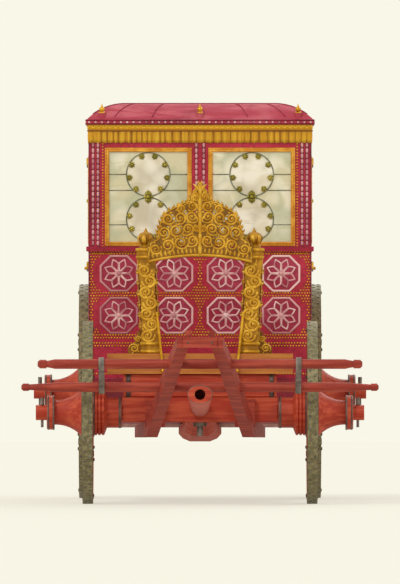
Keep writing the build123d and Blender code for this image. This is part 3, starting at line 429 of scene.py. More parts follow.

# %% [markdown]
# ## Iron, mica and gold thread
# The tyres are forged strakes: brownish iron, paler where the road scours it. Mica is a leaf of mineral,
# cream to green with a pearly face and cloudy sheets inside. Gold thread is silk wound with gilt wire, so
# each strand has its own shade, which the mesh carries as an attribute; on the fringe that attribute also
# carries painted shade.

# %% Iron, mica, thread
def forged(name, dark, main, light, roughness, patch=22.0):
    """Forged iron: scale in patches, scoured paler, hammer marks as slow bumps."""
    f = Finish(name, Metallic=0.35)
    scale = f.noise(patch, 4.0)
    marks = f.cells(38.0)
    fine = f.noise(240.0, 3.0)
    colour = f.mix(scale.step(0.38, 0.64), main, light)
    colour = f.mix(fine.step(0.52, 0.74) * 0.6, colour, dark)
    f.set(Base_Color=colour, Roughness=roughness + fine * 0.25)
    f.bump(marks * 0.8 + fine * 0.5, 0.0016)
    return f.material


def mica(name, low, main, high, vein):
    """Mineral leaf: soft clouds, a few straight cleavage lines and a pearly coat."""
    f = Finish(name, Coat_Roughness=0.12, Specular_IOR_Level=0.6)
    clouds = f.noise(5.5, 3.0, distortion=1.0)
    sheets = f.cells(7.0)
    cleave = f.noise(1.0, 2.0, f.scaled(4.0, 4.0, 26.0))
    colour = f.mix(clouds.step(0.38, 0.62), main, high)
    colour = f.mix(sheets.step(0.35, 0.75) * 0.55, colour, low)
    colour = f.mix(cleave.step(0.60, 0.72) * 0.5, colour, vein)
    f.set(Base_Color=colour, Roughness=0.22 + clouds * 0.2, Coat_Weight=0.35 + sheets * 0.3)
    f.bump(sheets + clouds, 0.0009)
    return f.material


def thread(name, dark, main, light):
    """Wound thread: every strand has its own shade, on the fringe mixed with painted shade, with fine
    turns across it.
    """
    f = Finish(name, Metallic=0.15, Sheen_Weight=0.2, Sheen_Roughness=0.4)
    shade = f.attribute("shade")
    turns = f.noise(700.0, 2.0)
    colour = f.mix(shade.step(0.45, 1.0), main, light)
    colour = f.mix(shade.step(0.45, 0.0), colour, dark)
    colour = f.mix(turns.step(0.55, 0.75) * 0.4, colour, dark)
    f.set(Base_Color=colour, Roughness=0.45 + turns * 0.2)
    f.bump(turns, 0.0008)
    return f.material


finish["iron"] = forged("dark iron", rgb(60, 54, 50), rgb(104, 94, 86), rgb(140, 128, 116), 0.4)
finish["strake_iron"] = forged(
    "strake iron", rgb(76, 70, 46), rgb(112, 104, 72), rgb(146, 136, 98), 0.46, 40.0
)
finish["mica"] = mica(
    "mica", rgb(172, 178, 140), rgb(216, 206, 164), rgb(238, 230, 200), rgb(188, 186, 130)
)
finish["gold_fringe"] = thread("gold thread", rgb(150, 88, 4), rgb(228, 166, 14), rgb(252, 206, 54))
finish["sash_cloth"] = velvet(
    "sash cloth", rgb(78, 8, 44), rgb(134, 20, 72), rgb(176, 48, 96), (26, 26, 26)
)
clear_mica = mica(
    "clear mica", rgb(184, 172, 140), rgb(232, 220, 188), rgb(248, 240, 218), rgb(206, 192, 150)
)
silver_braid = thread("silver braid", rgb(184, 114, 118), rgb(224, 164, 162), rgb(244, 204, 198))
lead = forged("window lead", rgb(74, 76, 62), rgb(108, 110, 92), rgb(140, 142, 120), 0.4)
olive_gilt = gilding("olive gilding", rgb(84, 74, 20), rgb(140, 128, 44), rgb(190, 172, 76), 0.4)
print("finishes by slot", ", ".join(finish))

# %% [markdown]
# The walls, timbers and wheels of the construction model already have the right shape, so they only need
# a finish. The record names a material slot for every node, and the finishes above are kept by slot.

# %% Every construction node takes the finish of its slot
for part in frame["record"]["subparts"]:
    piece = nodes[part["node"]]
    piece.data.materials.clear()
    piece.data.materials.append(finish[part["material_slot"]])

# %% [markdown]
# ## Shapes as arrays
# Everything added here is a surface over two parameters: along a path and round a section. A shape is a
# pair, its points as an array and its faces as a list of index arrays. Because it is plain numbers, a
# small shape can be copied hundreds of times by one multiplication before it becomes a mesh.


# %% Grid faces, tubes and turned shapes
def grid(rows, columns, round_rows=False):
    """Quads of a grid that closes across its columns: point (i, j) has index i * columns + j."""
    i = np.arange(rows if round_rows else rows - 1)
    i, j = (a.ravel() for a in np.meshgrid(i, np.arange(columns), indexing="ij"))
    down = (i + 1) % rows
    right = (j + 1) % columns
    return np.stack([i * columns + j, i * columns + right, down * columns + right, down * columns + j], 1)


def even_turns(count):
    """The angles that part a full turn into equal steps."""
    return np.arange(count) * 2 * np.pi / count


def unit(vectors):
    """Vectors of length one."""
    return vectors / np.maximum(np.linalg.norm(vectors, axis=-1, keepdims=True), 1e-12)


def capped(points, rows, columns):
    """A tube's points with its side quads and a flat cap at both ends."""
    first = np.arange(columns)[::-1][None]
    last = (rows - 1) * columns + np.arange(columns)[None]
    return points, [grid(rows, columns), first, last]


def tube(path, wide, high, sides=8, up=(0, 0, 1), groove=0.0, closed=False):
    """A tube along a path: centre + up' * high * cos(a) * (1 - groove near the top) + side * wide * sin(a),
    where up' is the given direction made square to the path."""
    path = np.asarray(path, float)
    count = len(path)
    if closed:
        run = unit(np.roll(path, -1, 0) - np.roll(path, 1, 0))
    else:
        run = unit(np.gradient(path, axis=0))
    lift = np.broadcast_to(np.asarray(up, float), path.shape)
    lift = unit(lift - run * np.sum(run * lift, 1, keepdims=True))
    side = np.cross(run, lift)
    angle = even_turns(sides)
    away = np.minimum(angle, 2 * np.pi - angle)
    dip = 1 - groove * np.exp(-((away / 0.5) ** 2))
    wide = np.broadcast_to(wide, (count,))[:, None, None]
    high = np.broadcast_to(high, (count,))[:, None, None]
    rise = lift[:, None] * high * (np.cos(angle) * dip)[None, :, None]
    points = path[:, None] + rise + side[:, None] * wide * np.sin(angle)[None, :, None]
    points = points.reshape(-1, 3)
    if closed:
        return points, [grid(count, sides, round_rows=True)]
    return capped(points, count, sides)


def turned(profile, origin=(0, 0, 0), axis=(0, 0, 1), sides=20):
    """A turned shape: each profile pair is a place along the axis and the radius there."""
    axis = unit(np.asarray(axis, float))
    helper = np.array((1.0, 0, 0)) if abs(axis[0]) < 0.9 else np.array((0, 1.0, 0))
    first = unit(np.cross(axis, helper))
    second = np.cross(axis, first)
    angle = even_turns(sides)
    ring = np.cos(angle)[:, None] * first + np.sin(angle)[:, None] * second
    along, radius = np.asarray(profile, float).T
    points = np.asarray(origin) + along[:, None, None] * axis + radius[:, None, None] * ring[None]
    return capped(points.reshape(-1, 3), len(along), sides)


# %% [markdown]
# Three directions place a small shape, so the same nail can lie on a wall, a bar or a tread. Every piece is
# made by one function, which builds the mesh, gives it a finish and names the body that it rides on.


# %% Copies, joins and meshes
def joined(shapes):
    """Several shapes as one."""
    points, faces, start = [], [], 0
    for shape_points, shape_faces in shapes:
        points.append(shape_points)
        faces += [f + start for f in shape_faces]
        start += len(shape_points)
    return np.concatenate(points), faces


def copies(shape, origins, first, second, third, sizes=1.0):
    """One shape at many places: origin + x * first + y * second + z * third, times the size there."""
    points, faces = shape
    origins = np.asarray(origins, float).reshape(-1, 3)
    count = len(origins)
    axes = np.stack([np.broadcast_to(np.asarray(a, float), (count, 3)) for a in (first, second, third)], 1)
    sizes = np.broadcast_to(sizes, (count,))[:, None, None]
    placed = origins[:, None] + sizes * np.einsum("pk,nkj->npj", points, axes)
    steps = (np.arange(count) * len(points))[:, None, None]
    return placed.reshape(-1, 3), [(f[None] + steps).reshape(-1, f.shape[1]) for f in faces]


def mirrored(shape):
    """The shape and its mirror image in X, the image with its faces turned round."""
    points, faces = shape
    return joined([shape, (points * (-1, 1, 1), [f[:, ::-1] for f in faces])])


def mesh_of(name, shape):
    """A new mesh with a shape's points and faces."""
    points, faces = shape
    mesh = bpy.data.meshes.new(name)
    mesh.from_pydata(points.tolist(), [], [row for f in faces for row in f.tolist()])
    return mesh


def put(name, shape, body, slot, material=None, smooth=True, **attributes):
    """Make a piece of a shape, riding on a body. Its finish is its slot's unless another is given, and any
    other keyword is an attribute that the finish reads, with one value for each point."""
    mesh = mesh_of(name, shape)
    mesh.polygons.foreach_set("use_smooth", np.full(len(mesh.polygons), smooth))
    for key, values in attributes.items():
        mesh.attributes.new(key, "FLOAT", "POINT").data.foreach_set("value", np.asarray(values, np.float32))
    mesh.materials.append(finish[slot] if material is None else material)
    piece = linked(name, mesh)
    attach(piece, body)
    mesh.calc_loop_triangles()
    print(name, len(mesh.loop_triangles), "triangles")
    return piece


# %% [markdown]
# ## Flat faces of the body
# Nails, braid and octagons are set out on flat panels. A panel is an origin and three directions: right
# and up as someone facing it sees them, and out towards them. A moulding is a small section carried along
# a flat path with its corners mitred, as a joiner runs a bead round a frame.


# %% Panels and mouldings
class Panel:
    """A flat face: right and up as seen by someone who faces it, and out towards them."""

    def __init__(self, origin, right, up, out):
        self.origin, self.right, self.up, self.out = (
            np.asarray(v, float) for v in (origin, right, up, out)
        )

    def at(self, u, v, out=0.0):
        """Points at u to the right, v up and a distance out."""
        u, v, out = (np.asarray(a, float)[..., None] for a in np.broadcast_arrays(u, v, out))
        return self.origin + u * self.right + v * self.up + out * self.out

    def lay(self, shape):
        """A flat shape moved on to the face: its x, y and z become u, v and out."""
        points, faces = shape
        return self.at(*points.T), faces

    def stud(self, shape, u, v, out=0.0, sizes=1.0, turn=0.0):
        """Copies of a shape on the face, each turned about the face's normal."""
        places = self.at(u, v, out).reshape(-1, 3)
        turn = np.broadcast_to(turn, (len(places),))[:, None]
        first = self.right * np.cos(turn) + self.up * np.sin(turn)
        second = self.up * np.cos(turn) - self.right * np.sin(turn)
        return copies(shape, places, first, second, self.out, sizes)

    def bead(self, path, section, closed=True):
        """A moulding along a flat path. A section point (a, b) lies a to the left of the path and b out;
        the section goes anticlockwise, and each corner is mitred."""
        path = np.asarray(path, float)
        section = np.asarray(section, float)
        before = np.roll(path, 1, 0)
        after = np.roll(path, -1, 0)
        if not closed:
            before[0] = 2 * path[0] - path[1]
            after[-1] = 2 * path[-1] - path[-2]
        left_in = unit(path - before)[:, ::-1] * (-1, 1)
        left_out = unit(after - path)[:, ::-1] * (-1, 1)
        mitre = (left_in + left_out) / (1 + np.sum(left_in * left_out, 1, keepdims=True))
        flat = path[:, None] + mitre[:, None] * section[None, :, :1]
        points = self.at(flat[..., 0], flat[..., 1], section[None, :, 1]).reshape(-1, 3)
        if closed:
            return points, [grid(len(path), len(section), round_rows=True)]
        return capped(points, len(path), len(section))


def facing(way, y, z=0):
    """An upright panel across the coach, facing the front where way is -1 and the rear where it is 1."""
    return Panel((0, y, z), (-way, 0, 0), (0, 0, 1), (0, way, 0))


def sideways(way, x, y=0, z=0):
    """An upright panel along the coach, facing +X where way is 1 and -X where it is -1."""
    return Panel((x, y, z), (0, way, 0), (0, 0, 1), (way, 0, 0))


def strip(width, height, foot=0.0):
    """Section of a flat braid or fillet with its top edges eased."""
    half = width / 2
    return [(-half, foot), (half, foot), (half * 0.95, height * 0.7), (half * 0.6, height),
            (-half * 0.6, height), (-half * 0.95, height * 0.7)]


def half_round(width, height, foot=0.0, steps=6):
    """Section of a half-round bead."""
    angle = np.linspace(0, np.pi, steps)
    curve = np.stack([width / 2 * np.cos(angle), foot + height * np.sin(angle)], 1)
    return curve.tolist()


def rectangle(low_u, high_u, low_v, high_v):
    """Corners of a rectangle, anticlockwise."""
    return [(low_u, low_v), (high_u, low_v), (high_u, high_v), (low_u, high_v)]


body_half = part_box("front_wall")[1][0]
body_rear_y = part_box("rear_wall")[1][1]
body_y = (body_front_y + body_rear_y) / 2
half_length = (body_rear_y - body_front_y) / 2
front_panel = facing(-1, body_front_y)
rear_panel = facing(1, body_rear_y)
side_panels = {"left": sideways(1, body_half, body_y), "right": sideways(-1, -body_half, body_y)}
print("body half width", round(body_half, 3), "half length", round(half_length, 3))

# %% [markdown]
# ## The sash
# A crimson sash hangs from two hooks across the rear wall and is twisted on itself. Its line is one NURBS
# curve of order 3 through a few given control points, so it sags without corners. Two soft strands
# then wind round that line, each with shallow flutes where the cloth is gathered.

# %% Route and strands of the sash
sash_y = body_rear_y + 0.036
# Half of the route, from a hook in to the middle: X, Z
sash_half = [(0.6366, 1.5784), (0.540, 1.480), (0.395, 1.395), (0.215, 1.345), (0.070, 1.330)]
sash_route = [(-x, sash_y, z) for x, z in sash_half] + [(x, sash_y, z) for x, z in sash_half[::-1]]
strand_lay, strand_r, strand_pitch = 0.0098, 0.0118, 0.34


def smooth_route(points, steps=24):
    """Points along the order 3 NURBS spline with these control points."""
    curve = bpy.data.curves.new("route", "CURVE")
    curve.dimensions = "3D"
    spline = curve.splines.new("NURBS")
    spline.points.add(len(points) - 1)
    spline.points.foreach_set("co", np.column_stack([points, np.ones(len(points))]).ravel())
    spline.order_u = 3
    spline.use_endpoint_u = True
    spline.resolution_u = steps
    holder = linked("route", curve)
    bpy.context.view_layer.update()
    line = bpy.data.meshes.new_from_object(holder)
    found = np.array([v.co for v in line.vertices], float)
    for block in (line, curve):
        bpy.data.batch_remove([block])
    return found


def gathered_strand(path, phase, lay_radius, radius, pitch, flutes=5, sides=30):
    """A strand winding round the path: path + lay_radius * (turning direction), with a fluted section
    radius * (1 + 0.13 cos(flutes * a)) that turns with it."""
    gaps = np.linalg.norm(np.diff(path, axis=0), axis=1)
    along = np.concatenate([[0], np.cumsum(gaps)])
    run = unit(np.gradient(path, axis=0))
    out = unit(np.array((0, 1.0, 0)) - run * run[:, 1:2])
    side = np.cross(run, out)
    ease = np.clip(np.minimum(along, along[-1] - along) / 0.05, 0, 1)[:, None]
    wind = (2 * np.pi * along / pitch + phase)[:, None]
    centre = path + lay_radius * ease * (out * np.cos(wind) + side * np.sin(wind))
    angle = even_turns(sides)[None]
    swell = 1 + 0.10 * np.sin(9 * along + phase)[:, None]
    reach = radius * swell * (1 + 0.13 * np.cos(flutes * angle + wind))
    turn = angle + wind
    ring = out[:, None] * np.cos(turn)[..., None] + side[:, None] * np.sin(turn)[..., None]
    points = (centre[:, None] + reach[..., None] * ring).reshape(-1, 3)
    return capped(points, len(path), sides)


sash_line = smooth_route(sash_route)
strands = [gathered_strand(sash_line, phase, strand_lay, strand_r, strand_pitch) for phase in (0.0, np.pi)]
sash = put("sash_strands", joined(strands), "coach", "sash_cloth")
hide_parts("sash")

# %% [markdown]
# ## Nails and octagons
# Below the belt each wall is a field of octagons. Every octagon is a raised silver braid round a darker
# hide, with an eight-petalled flower of looped braid. Gilt nails fill the bands between on a staggered
# lattice: a lattice point is kept if it is near a cell's edge or in the diamond where four cells meet.

# %% Nail, flower and octagon as small shapes
flat = Panel((0, 0, 0), (1, 0, 0), (0, 1, 0), (0, 0, 1))
nail = turned([(-0.15, 0.5), (0.12, 0.5), (0.4, 0.27)], sides=6)
bead = turned([(-0.3, 0.3), (-0.1, 0.48), (0.2, 0.42), (0.42, 0.2)], sides=8)


def plate(outline, low, high):
    """A flat plate with an upright edge round an anticlockwise outline."""
    outline = np.asarray(outline, float)
    count = len(outline)
    levels = [np.column_stack([outline, np.full(count, z)]) for z in (low, high)]
    points = np.concatenate(levels)
    return capped(points, 2, count)


def octagon(width, height, cut):
    """Corners of an octagon with all four corners cut off at the same length."""
    a, b = width / 2, height / 2
    return [(a, cut - b), (a, b - cut), (a - cut, b), (cut - a, b),
            (-a, b - cut), (-a, cut - b), (cut - a, -b), (a - cut, -b)]


def petal(near, far, half_width, turn, points=14):
    """A loop from near to far with a sharp tip, widest at widest_share of its length."""
    widest_share = 0.60
    t = np.arange(points) * 2 / points
    share = 1 - np.abs(1 - t)
    along = near + (far - near) * share
    swell = np.minimum(share / widest_share, (1 - share) / (1 - widest_share)) ** 0.85
    across = half_width * np.where(t < 1, 1, -1) * swell
    u = along * np.cos(turn) - across * np.sin(turn)
    v = along * np.sin(turn) + across * np.cos(turn)
    return np.stack([u, v], 1)


def flower_motif(width, height, cut):
    """A braid octagon and, inside it, the flower of eight pointed loops round a button."""
    reach = min(width, height) * 0.425
    braid = strip(0.0132, 0.0056, -0.001)
    fine = strip(0.0092, 0.0044, 0.0005)
    shapes = [flat.bead(octagon(width, height, cut), braid)]
    for index in range(8):
        turn = (index + 0.5) * np.pi / 4
        shapes.append(flat.bead(petal(0.014, reach, reach * 0.25, turn), fine))
    shapes.append(turned([(0, 0.018), (0.0055, 0.016), (0.0080, 0.007)], sides=10))
    return joined(shapes)


print("nail", sum(len(f) for f in nail[1]), "faces; bead", sum(len(f) for f in bead[1]), "faces")

# %% [markdown]
# One function dresses any wall. It lays a lattice of nails over the whole field, drops those that fall on
# an octagon or too far from the bands between, and sets a flower and its hide in the middle of each cell.

# %% A field of octagons on a panel
nail_size = 0.0125
octagon_margin = 0.011
band_reach, corner_reach, edge_reach = 0.62, 0.32, 0.7


def field(panel, columns, rows, cell, size, cut, bands=20, courses=15, allowed=None):
    """Flowers and plates at the cell centres and the nails between them. Returns the three shapes."""
    cell_w, cell_h = cell
    columns = np.sort(columns)
    low_u, high_u = columns[0] - cell_w / 2, columns[-1] + cell_w / 2
    low_v, high_v = min(rows) - cell_h / 2, max(rows) + cell_h / 2
    pitch_u = (high_u - low_u) / round((high_u - low_u) * bands / cell_w)
    pitch_v = cell_h / courses
    cell_edges = np.concatenate([[low_u], (columns[:-1] + columns[1:]) / 2, [high_u]])
    i, j = np.meshgrid(
        np.arange(-1, round((high_u - low_u) / pitch_u) + 2),
        np.arange(-1, round((high_v - low_v) / pitch_v) + 1),
    )
    u = (low_u + (i + 0.5 * (j % 2)) * pitch_u).ravel()
    v = (low_v + (j + 0.5) * pitch_v).ravel()
    off_u = np.abs(u[:, None] - cell_edges).min(1)
    off_v = np.abs((v - low_v + cell_h / 2) % cell_h - cell_h / 2)
    x, y = np.abs(u[:, None] - columns).min(1), cell_h / 2 - off_v
    half_w, half_h = size[0] / 2 + octagon_margin, size[1] / 2 + octagon_margin
    in_octagon = (x < half_w) & (y < half_h) & (x + y < half_w + half_h - cut)
    near = (off_u < band_reach * pitch_u) | (off_v < band_reach * pitch_v)
    near |= off_u + off_v < corner_reach * cell_h
    inside = (u > low_u - edge_reach * pitch_u) & (u < high_u + edge_reach * pitch_u)
    inside &= (v > low_v - edge_reach * pitch_v) & (v < high_v + edge_reach * pitch_v)
    keep = near & ~in_octagon
    if allowed is not None:
        # A cell with no room for its octagon is all nails
        cell_foot = low_v + np.floor((v - low_v) / cell_h) * cell_h + (cell_h - size[1]) / 2
        cell_u = columns[np.abs(u[:, None] - columns).argmin(1)]
        keep = (keep | ~allowed(cell_u, cell_foot)) & allowed(u, v)
    keep &= inside
    centres = [
        (cu, cv) for cu in columns for cv in rows if allowed is None or allowed(cu, cv - size[1] / 2)
    ]
    cu, cv = np.array(centres).T
    inner = octagon(size[0] - 0.004, size[1] - 0.004, cut)
    return (
        panel.stud(flower_motif(*size, cut), cu, cv),
        panel.stud(plate(inner, -0.002, 0.0012), cu, cv),
        panel.stud(nail, u[keep], v[keep], sizes=nail_size),
    )


# %% [markdown]
# Under the walls the body is a boat: its bottom board is flat in the middle and an arc at each end. A door
# and the quarter panels beside it reach down to that arc, so it limits where octagons and nails may lie.

# %% The bottom's arc and the fields of the front and rear walls
hull_foot_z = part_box("floor")[0][2]
wall_foot_z = 0.800
sill_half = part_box("bottom_board")[1][1] - body_y
hull_run = half_length - sill_half
hull_rise = wall_foot_z - hull_foot_z
hull_r = (hull_run ** 2 + hull_rise ** 2) / (2 * hull_rise)


def hull_z(u):
    """Height of the bottom at a distance from the body's middle: an arc of radius hull_r."""
    run = np.clip(np.abs(u) - sill_half, 0, hull_run)
    return hull_foot_z + hull_r - np.sqrt(hull_r ** 2 - run ** 2)


rail_low, rail_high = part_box("belt_rails")
belt_z = rail_low[2]
octagon_hide = leather("octagon hide", rgb(114, 16, 38), rgb(156, 32, 58), rgb(176, 52, 78))
lower_rows = (1.487, 1.214, 0.941)
front_columns = (-0.528, -0.168, 0.168, 0.528)
front_field = field(front_panel, front_columns, lower_rows[:2], (0.360, 0.273), (0.236, 0.226), 0.064)
rear_columns, rear_rows = (-0.505, -0.168, 0.168, 0.505), (2.062, 1.722, 1.382, 1.022)
rear_field = field(rear_panel, rear_columns, rear_rows, (0.337, 0.340), (0.272, 0.272), 0.074, 19, 19)
print("radius of the bottom's arc", round(hull_r, 3), "m")

# %% [markdown]
# Each field becomes three pieces: braid flowers, darker hides under them and gilt nails. The doors ride on
# bodies of their own, so they have their own three. The belt rail runs on across the rear wall, where the
# leather field covers it: what lies there is lifted by the rail's depth, over a hide laid on the rail.

# %% Fields over the rear rail
rail_ease = 0.004
rail_cover = 0.0012


def over_rail(shape, whole=False):
    """Lay a shape of the rear wall over the rail: cut it at the rail's edges and push the part between
    them out by the rail's depth. A whole nail moves with its middle."""
    proud = rail_high[1] - body_rear_y + rail_cover
    points, faces = shape
    if whole:
        middle = points.reshape(-1, len(nail[0]), 3)[..., 2].mean(1)
        on_rail = (middle > rail_low[2] - 0.002) & (middle < rail_high[2] + 0.002)
        lift = np.repeat(on_rail * proud, len(nail[0]))
        return points + lift[:, None] * (0, 1, 0), faces
    cut = bmesh.new()
    mesh = mesh_of("over rail", shape)
    cut.from_mesh(mesh)
    for z in (rail_low[2] - rail_ease, rail_low[2], rail_high[2], rail_high[2] + rail_ease):
        everything = cut.verts[:] + cut.edges[:] + cut.faces[:]
        bmesh.ops.bisect_plane(cut, geom=everything, plane_co=(0, 0, z), plane_no=(0, 0, 1), dist=1e-5)
    for vert in cut.verts:
        if rail_low[2] - 0.001 < vert.co.z < rail_high[2] + 0.001:
            vert.co.y += proud
    bmesh.ops.triangulate(cut, faces=cut.faces[:])
    cut.verts.index_update()
    moved = np.array([vert.co[:] for vert in cut.verts])
    triangles = np.array([[vert.index for vert in face.verts] for face in cut.faces])
    cut.free()
    bpy.data.meshes.remove(mesh)
    return moved, [triangles]


flowers, hides, nails = rear_field
rear_field = (over_rail(flowers), over_rail(hides), over_rail(nails, whole=True))
strip_outline = rectangle(-rail_high[0], rail_high[0], rail_low[2] - 0.001, rail_high[2] + 0.001)
rail_hide = facing(1, rail_high[1]).lay(plate(strip_outline, -0.004, 0.001))
put("rear_rail_hide", rail_hide, "coach", "crimson_leather", smooth=False)

# %% Fields on all walls and doors
braid_run = 40
door_low, door_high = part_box("left_door")
door_half = (door_high[1] - door_low[1]) / 2
quarter_middle = (sill_half + half_length) / 2
quarter_columns = (quarter_middle - 0.130, quarter_middle + 0.130)
side_rows = lower_rows + (0.668,)
side_size, side_cut, side_bands = (0.212, 0.226), 0.060, 14


def above_hull(u, v):
    """True where a point lies well inside the curved bottom."""
    return v > hull_z(u) + 0.045


def on_door(u, v):
    """True where a point lies well inside a door, below the belt."""
    return (v < 1.60) & (np.abs(u) < 0.285) & (v > 0.56)


def shades(shape, run):
    """A slow random shade from 0 to 1, the same over each run of points."""
    count = len(shape[0])
    return np.repeat(chance.random(count // run + 1), run)[:count]


def wall_dress(name, shapes, body):
    """Put one field's braid, hide and nails."""
    flowers, hides, nails = shapes
    put(f"{name}_flowers", flowers, body, "gold_fringe", silver_braid, shade=shades(flowers, braid_run))
    put(f"{name}_hides", hides, body, "crimson_leather", octagon_hide, smooth=False)
    put(f"{name}_nails", nails, body, "gilt_metal")


wall_dress("front_wall", front_field, "coach")
wall_dress("rear_wall", rear_field, "coach")
for hand, panel in side_panels.items():
    # Each side wall has two quarter panels, with the door between them
    parts = []
    for end in (-1, 1):
        columns = [end * u for u in quarter_columns]
        quarter = (columns, side_rows, (0.260, 0.273), side_size, side_cut, side_bands)
        parts.append(field(panel, *quarter, allowed=above_hull))
    wall_dress(f"{hand}_wall", [joined(shapes) for shapes in zip(*parts)], "coach")
    door = ((-0.135, 0.135), side_rows, (0.270, 0.273), side_size, side_cut, side_bands)
    wall_dress(f"{hand}_door", field(panel, *door, allowed=on_door), f"{hand}_door")

# %% [markdown]
# ## Welts, stitches and border nails
# A dark welt covers each corner where two hides meet. Between the windows, slim silver stitches stand
# upright in pairs. Border nails follow the edges of each wall, and on the sides the curve of the bottom.

# %% Welts
welt_r = 0.006
welt_hide = leather("welt hide", rgb(70, 4, 22), rgb(116, 10, 36), rgb(150, 20, 50), 0.0005)
fringe_low, fringe_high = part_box("fringe")
wall_top = fringe_low[2] + 0.03
welts = []
for x in (-body_half, body_half):
    for y in (body_front_y, body_rear_y):
        corner_line = [(x, y, z) for z in np.linspace(wall_foot_z, wall_top, 12)]
        welts.append(tube(corner_line, welt_r, welt_r, up=(1, 0, 0)))
    arc = np.linspace(-half_length, half_length, 49)
    path = np.column_stack([np.full(49, x), body_y + arc, hull_z(arc)])
    welts.append(tube(path, welt_r, welt_r, up=(1, 0, 0)))
for y in (body_front_y, body_rear_y):
    x = np.linspace(-body_half, body_half, 7)
    welts.append(tube(np.column_stack([x, np.full(7, y), np.full(7, wall_foot_z)]), welt_r, welt_r))
put("body_welts", joined(welts), "coach", "crimson_leather", welt_hide)

# %% Rows of stitches and lines of nails
stitch = tube(
    [(0, y, 0) for y in (-0.5, -0.25, 0.25, 0.5)], (0.17, 0.30, 0.30, 0.17), (0.08, 0.16, 0.16, 0.08), 6
)
stitch_size, stitch_pitch, band_half = 0.030, 0.0355, 0.0115


def lattice(places, levels):
    """Every pair of a place across and a level, as two flat arrays."""
    return [a.ravel() for a in np.meshgrid(places, levels)]


def stitch_columns(panel, places, low, high):
    """Upright stitches one above the other at each place along a panel."""
    u, v = lattice(places, np.arange(low + stitch_pitch / 2, high, stitch_pitch))
    return panel.stud(stitch, u, v, 0.0015, stitch_size)


def stitch_shades(shape):
    """One random shade for each stitch, duller than the braid of the octagons."""
    return 0.5 * shades(shape, len(stitch[0]))


def stitch_bands(panel, places, low, high):
    """A narrow strip of darker hide under each row of stitches."""
    outlines = [rectangle(u - band_half, u + band_half, low, high) for u in places]
    return joined([panel.lay(plate(outline, -0.002, 0.001)) for outline in outlines])


def nail_line(panel, path, pitch=0.0185, size=nail_size, ends=True):
    """Nails at even steps along a line on a panel, with or without one on its last point."""
    path = np.asarray(path, float)
    along = np.concatenate([[0], np.cumsum(np.linalg.norm(np.diff(path, axis=0), axis=1))])
    marks = np.linspace(0, along[-1], max(int(along[-1] / pitch), 1) + 1)
    marks = marks if ends else marks[:-1]
    u, v = (np.interp(marks, along, line) for line in path.T)
    return panel.stud(nail, u, v, sizes=size)


def upright_nails(panel, u, low, high):
    """An upright line of nails."""
    return nail_line(panel, [(u, low), (u, high)])


print("stitch", len(stitch[0]), "points, nail", len(nail[0]), "points")

# %% Stitches and border nails of the walls
window_low_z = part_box("window_frames")[0][2]
band_foot, fringe_foot = window_low_z - 0.010, fringe_low[2]
front_places = (-0.696, -0.664, -0.024, 0.024, 0.664, 0.696)
side_places = [end * u for end in (-1, 1) for u in (0.336, 0.368, 0.806, 0.842, 0.876)]
quarter_end = 0.878
stitches = [stitch_columns(front_panel, front_places, window_low_z, fringe_foot)]
bands = [stitch_bands(front_panel, front_places, band_foot, fringe_foot)]
borders = [upright_nails(front_panel, u, window_low_z, fringe_foot) for u in (-0.632, 0.632)]
for panel in side_panels.values():
    stitches.append(stitch_columns(panel, side_places, window_low_z, fringe_foot))
    bands.append(stitch_bands(panel, side_places, band_foot, fringe_foot))
    u = np.linspace(-quarter_end, quarter_end, 61)
    borders.append(nail_line(panel, np.column_stack([u, hull_z(u) + 0.026])))
    for end in (-1, 1):
        borders.append(upright_nails(panel, end * quarter_end, 0.84, belt_z))
        borders.append(upright_nails(panel, end * (sill_half + 0.020), 0.55, belt_z))
for u in (-0.702, 0.702):
    borders.append(upright_nails(rear_panel, u, 0.83, belt_z))
# Level lines in front: under the belt, a band of two staggered lines under the octagons, and at the foot
for z, reach in ((belt_z - 0.014, 0.690), (1.034, 0.690), (1.016, 0.681), (0.835, 0.690)):
    borders.append(nail_line(front_panel, [(-reach, z), (reach, z)]))
for u in (-0.708, 0.708):
    borders.append(upright_nails(front_panel, u, 0.835, 1.060))
rear_top = [(-0.700, belt_z + 0.05), (-0.700, 2.27), (0.700, 2.27), (0.700, belt_z + 0.05)]
borders.append(nail_line(rear_panel, rear_top))

# %% Stitches and border nails of the doors
for hand, panel in side_panels.items():
    body = f"{hand}_door"
    edge_u, top_v = door_half - 0.030, door_high[2] - 0.030
    outline = rectangle(-edge_u, edge_u, belt_z + 0.062, top_v)
    put(f"{body}_border", nail_line(panel, outline + outline[:1], ends=False), body, "gilt_metal")
    sewn = stitch_columns(panel, (-0.238, 0.238), window_low_z, top_v - 0.020)
    put(f"{body}_stitches", sewn, body, "gold_fringe", silver_braid, shade=stitch_shades(sewn))
put("stitch_bands", joined(bands), "coach", "crimson_leather", welt_hide, smooth=False)
sewn = joined(stitches)
put("window_stitches", sewn, "coach", "gold_fringe", silver_braid, shade=stitch_shades(sewn))
put("border_nails", joined(borders), "coach", "gilt_metal")

# %% [markdown]
# ## Mica windows
# Each light is leaded: two wreaths one above the other touch at a gilt rosette, lead runs from them to
# the frame, and inside each wreath lies a clearer disc of mica with a notch round every stud. All windows
# use the same rule: the wreath's radius is a quarter of the clear height.

# %% Leading, wreaths and rosettes
frame_width = 0.028
pane_out = -0.0023
studs_per_wreath = 9
disc_share, notch_depth, notch_half = 0.93, 0.25, 0.17
rosette_size, middle_rosette_size = 0.025, 0.040


def circle(radius, points=48):
    """Points of a circle, as pairs."""
    angle = even_turns(points)
    return radius * np.stack([np.cos(angle), np.sin(angle)], 1)


def notched_disc(radius, notches, points=90):
    """A disc a little smaller than its wreath, with a round notch at each stud: its reach is
    radius * (0.93 - 0.25 exp(-(angle from the notch / 0.17)^2))."""
    angle = even_turns(points)
    nearest = (angle[:, None] - notches[None] + np.pi) % (2 * np.pi) - np.pi
    bite = np.exp(-((np.abs(nearest).min(1) / notch_half) ** 2))
    reach = radius * (disc_share - notch_depth * bite)
    return reach[:, None] * circle(1.0, points)


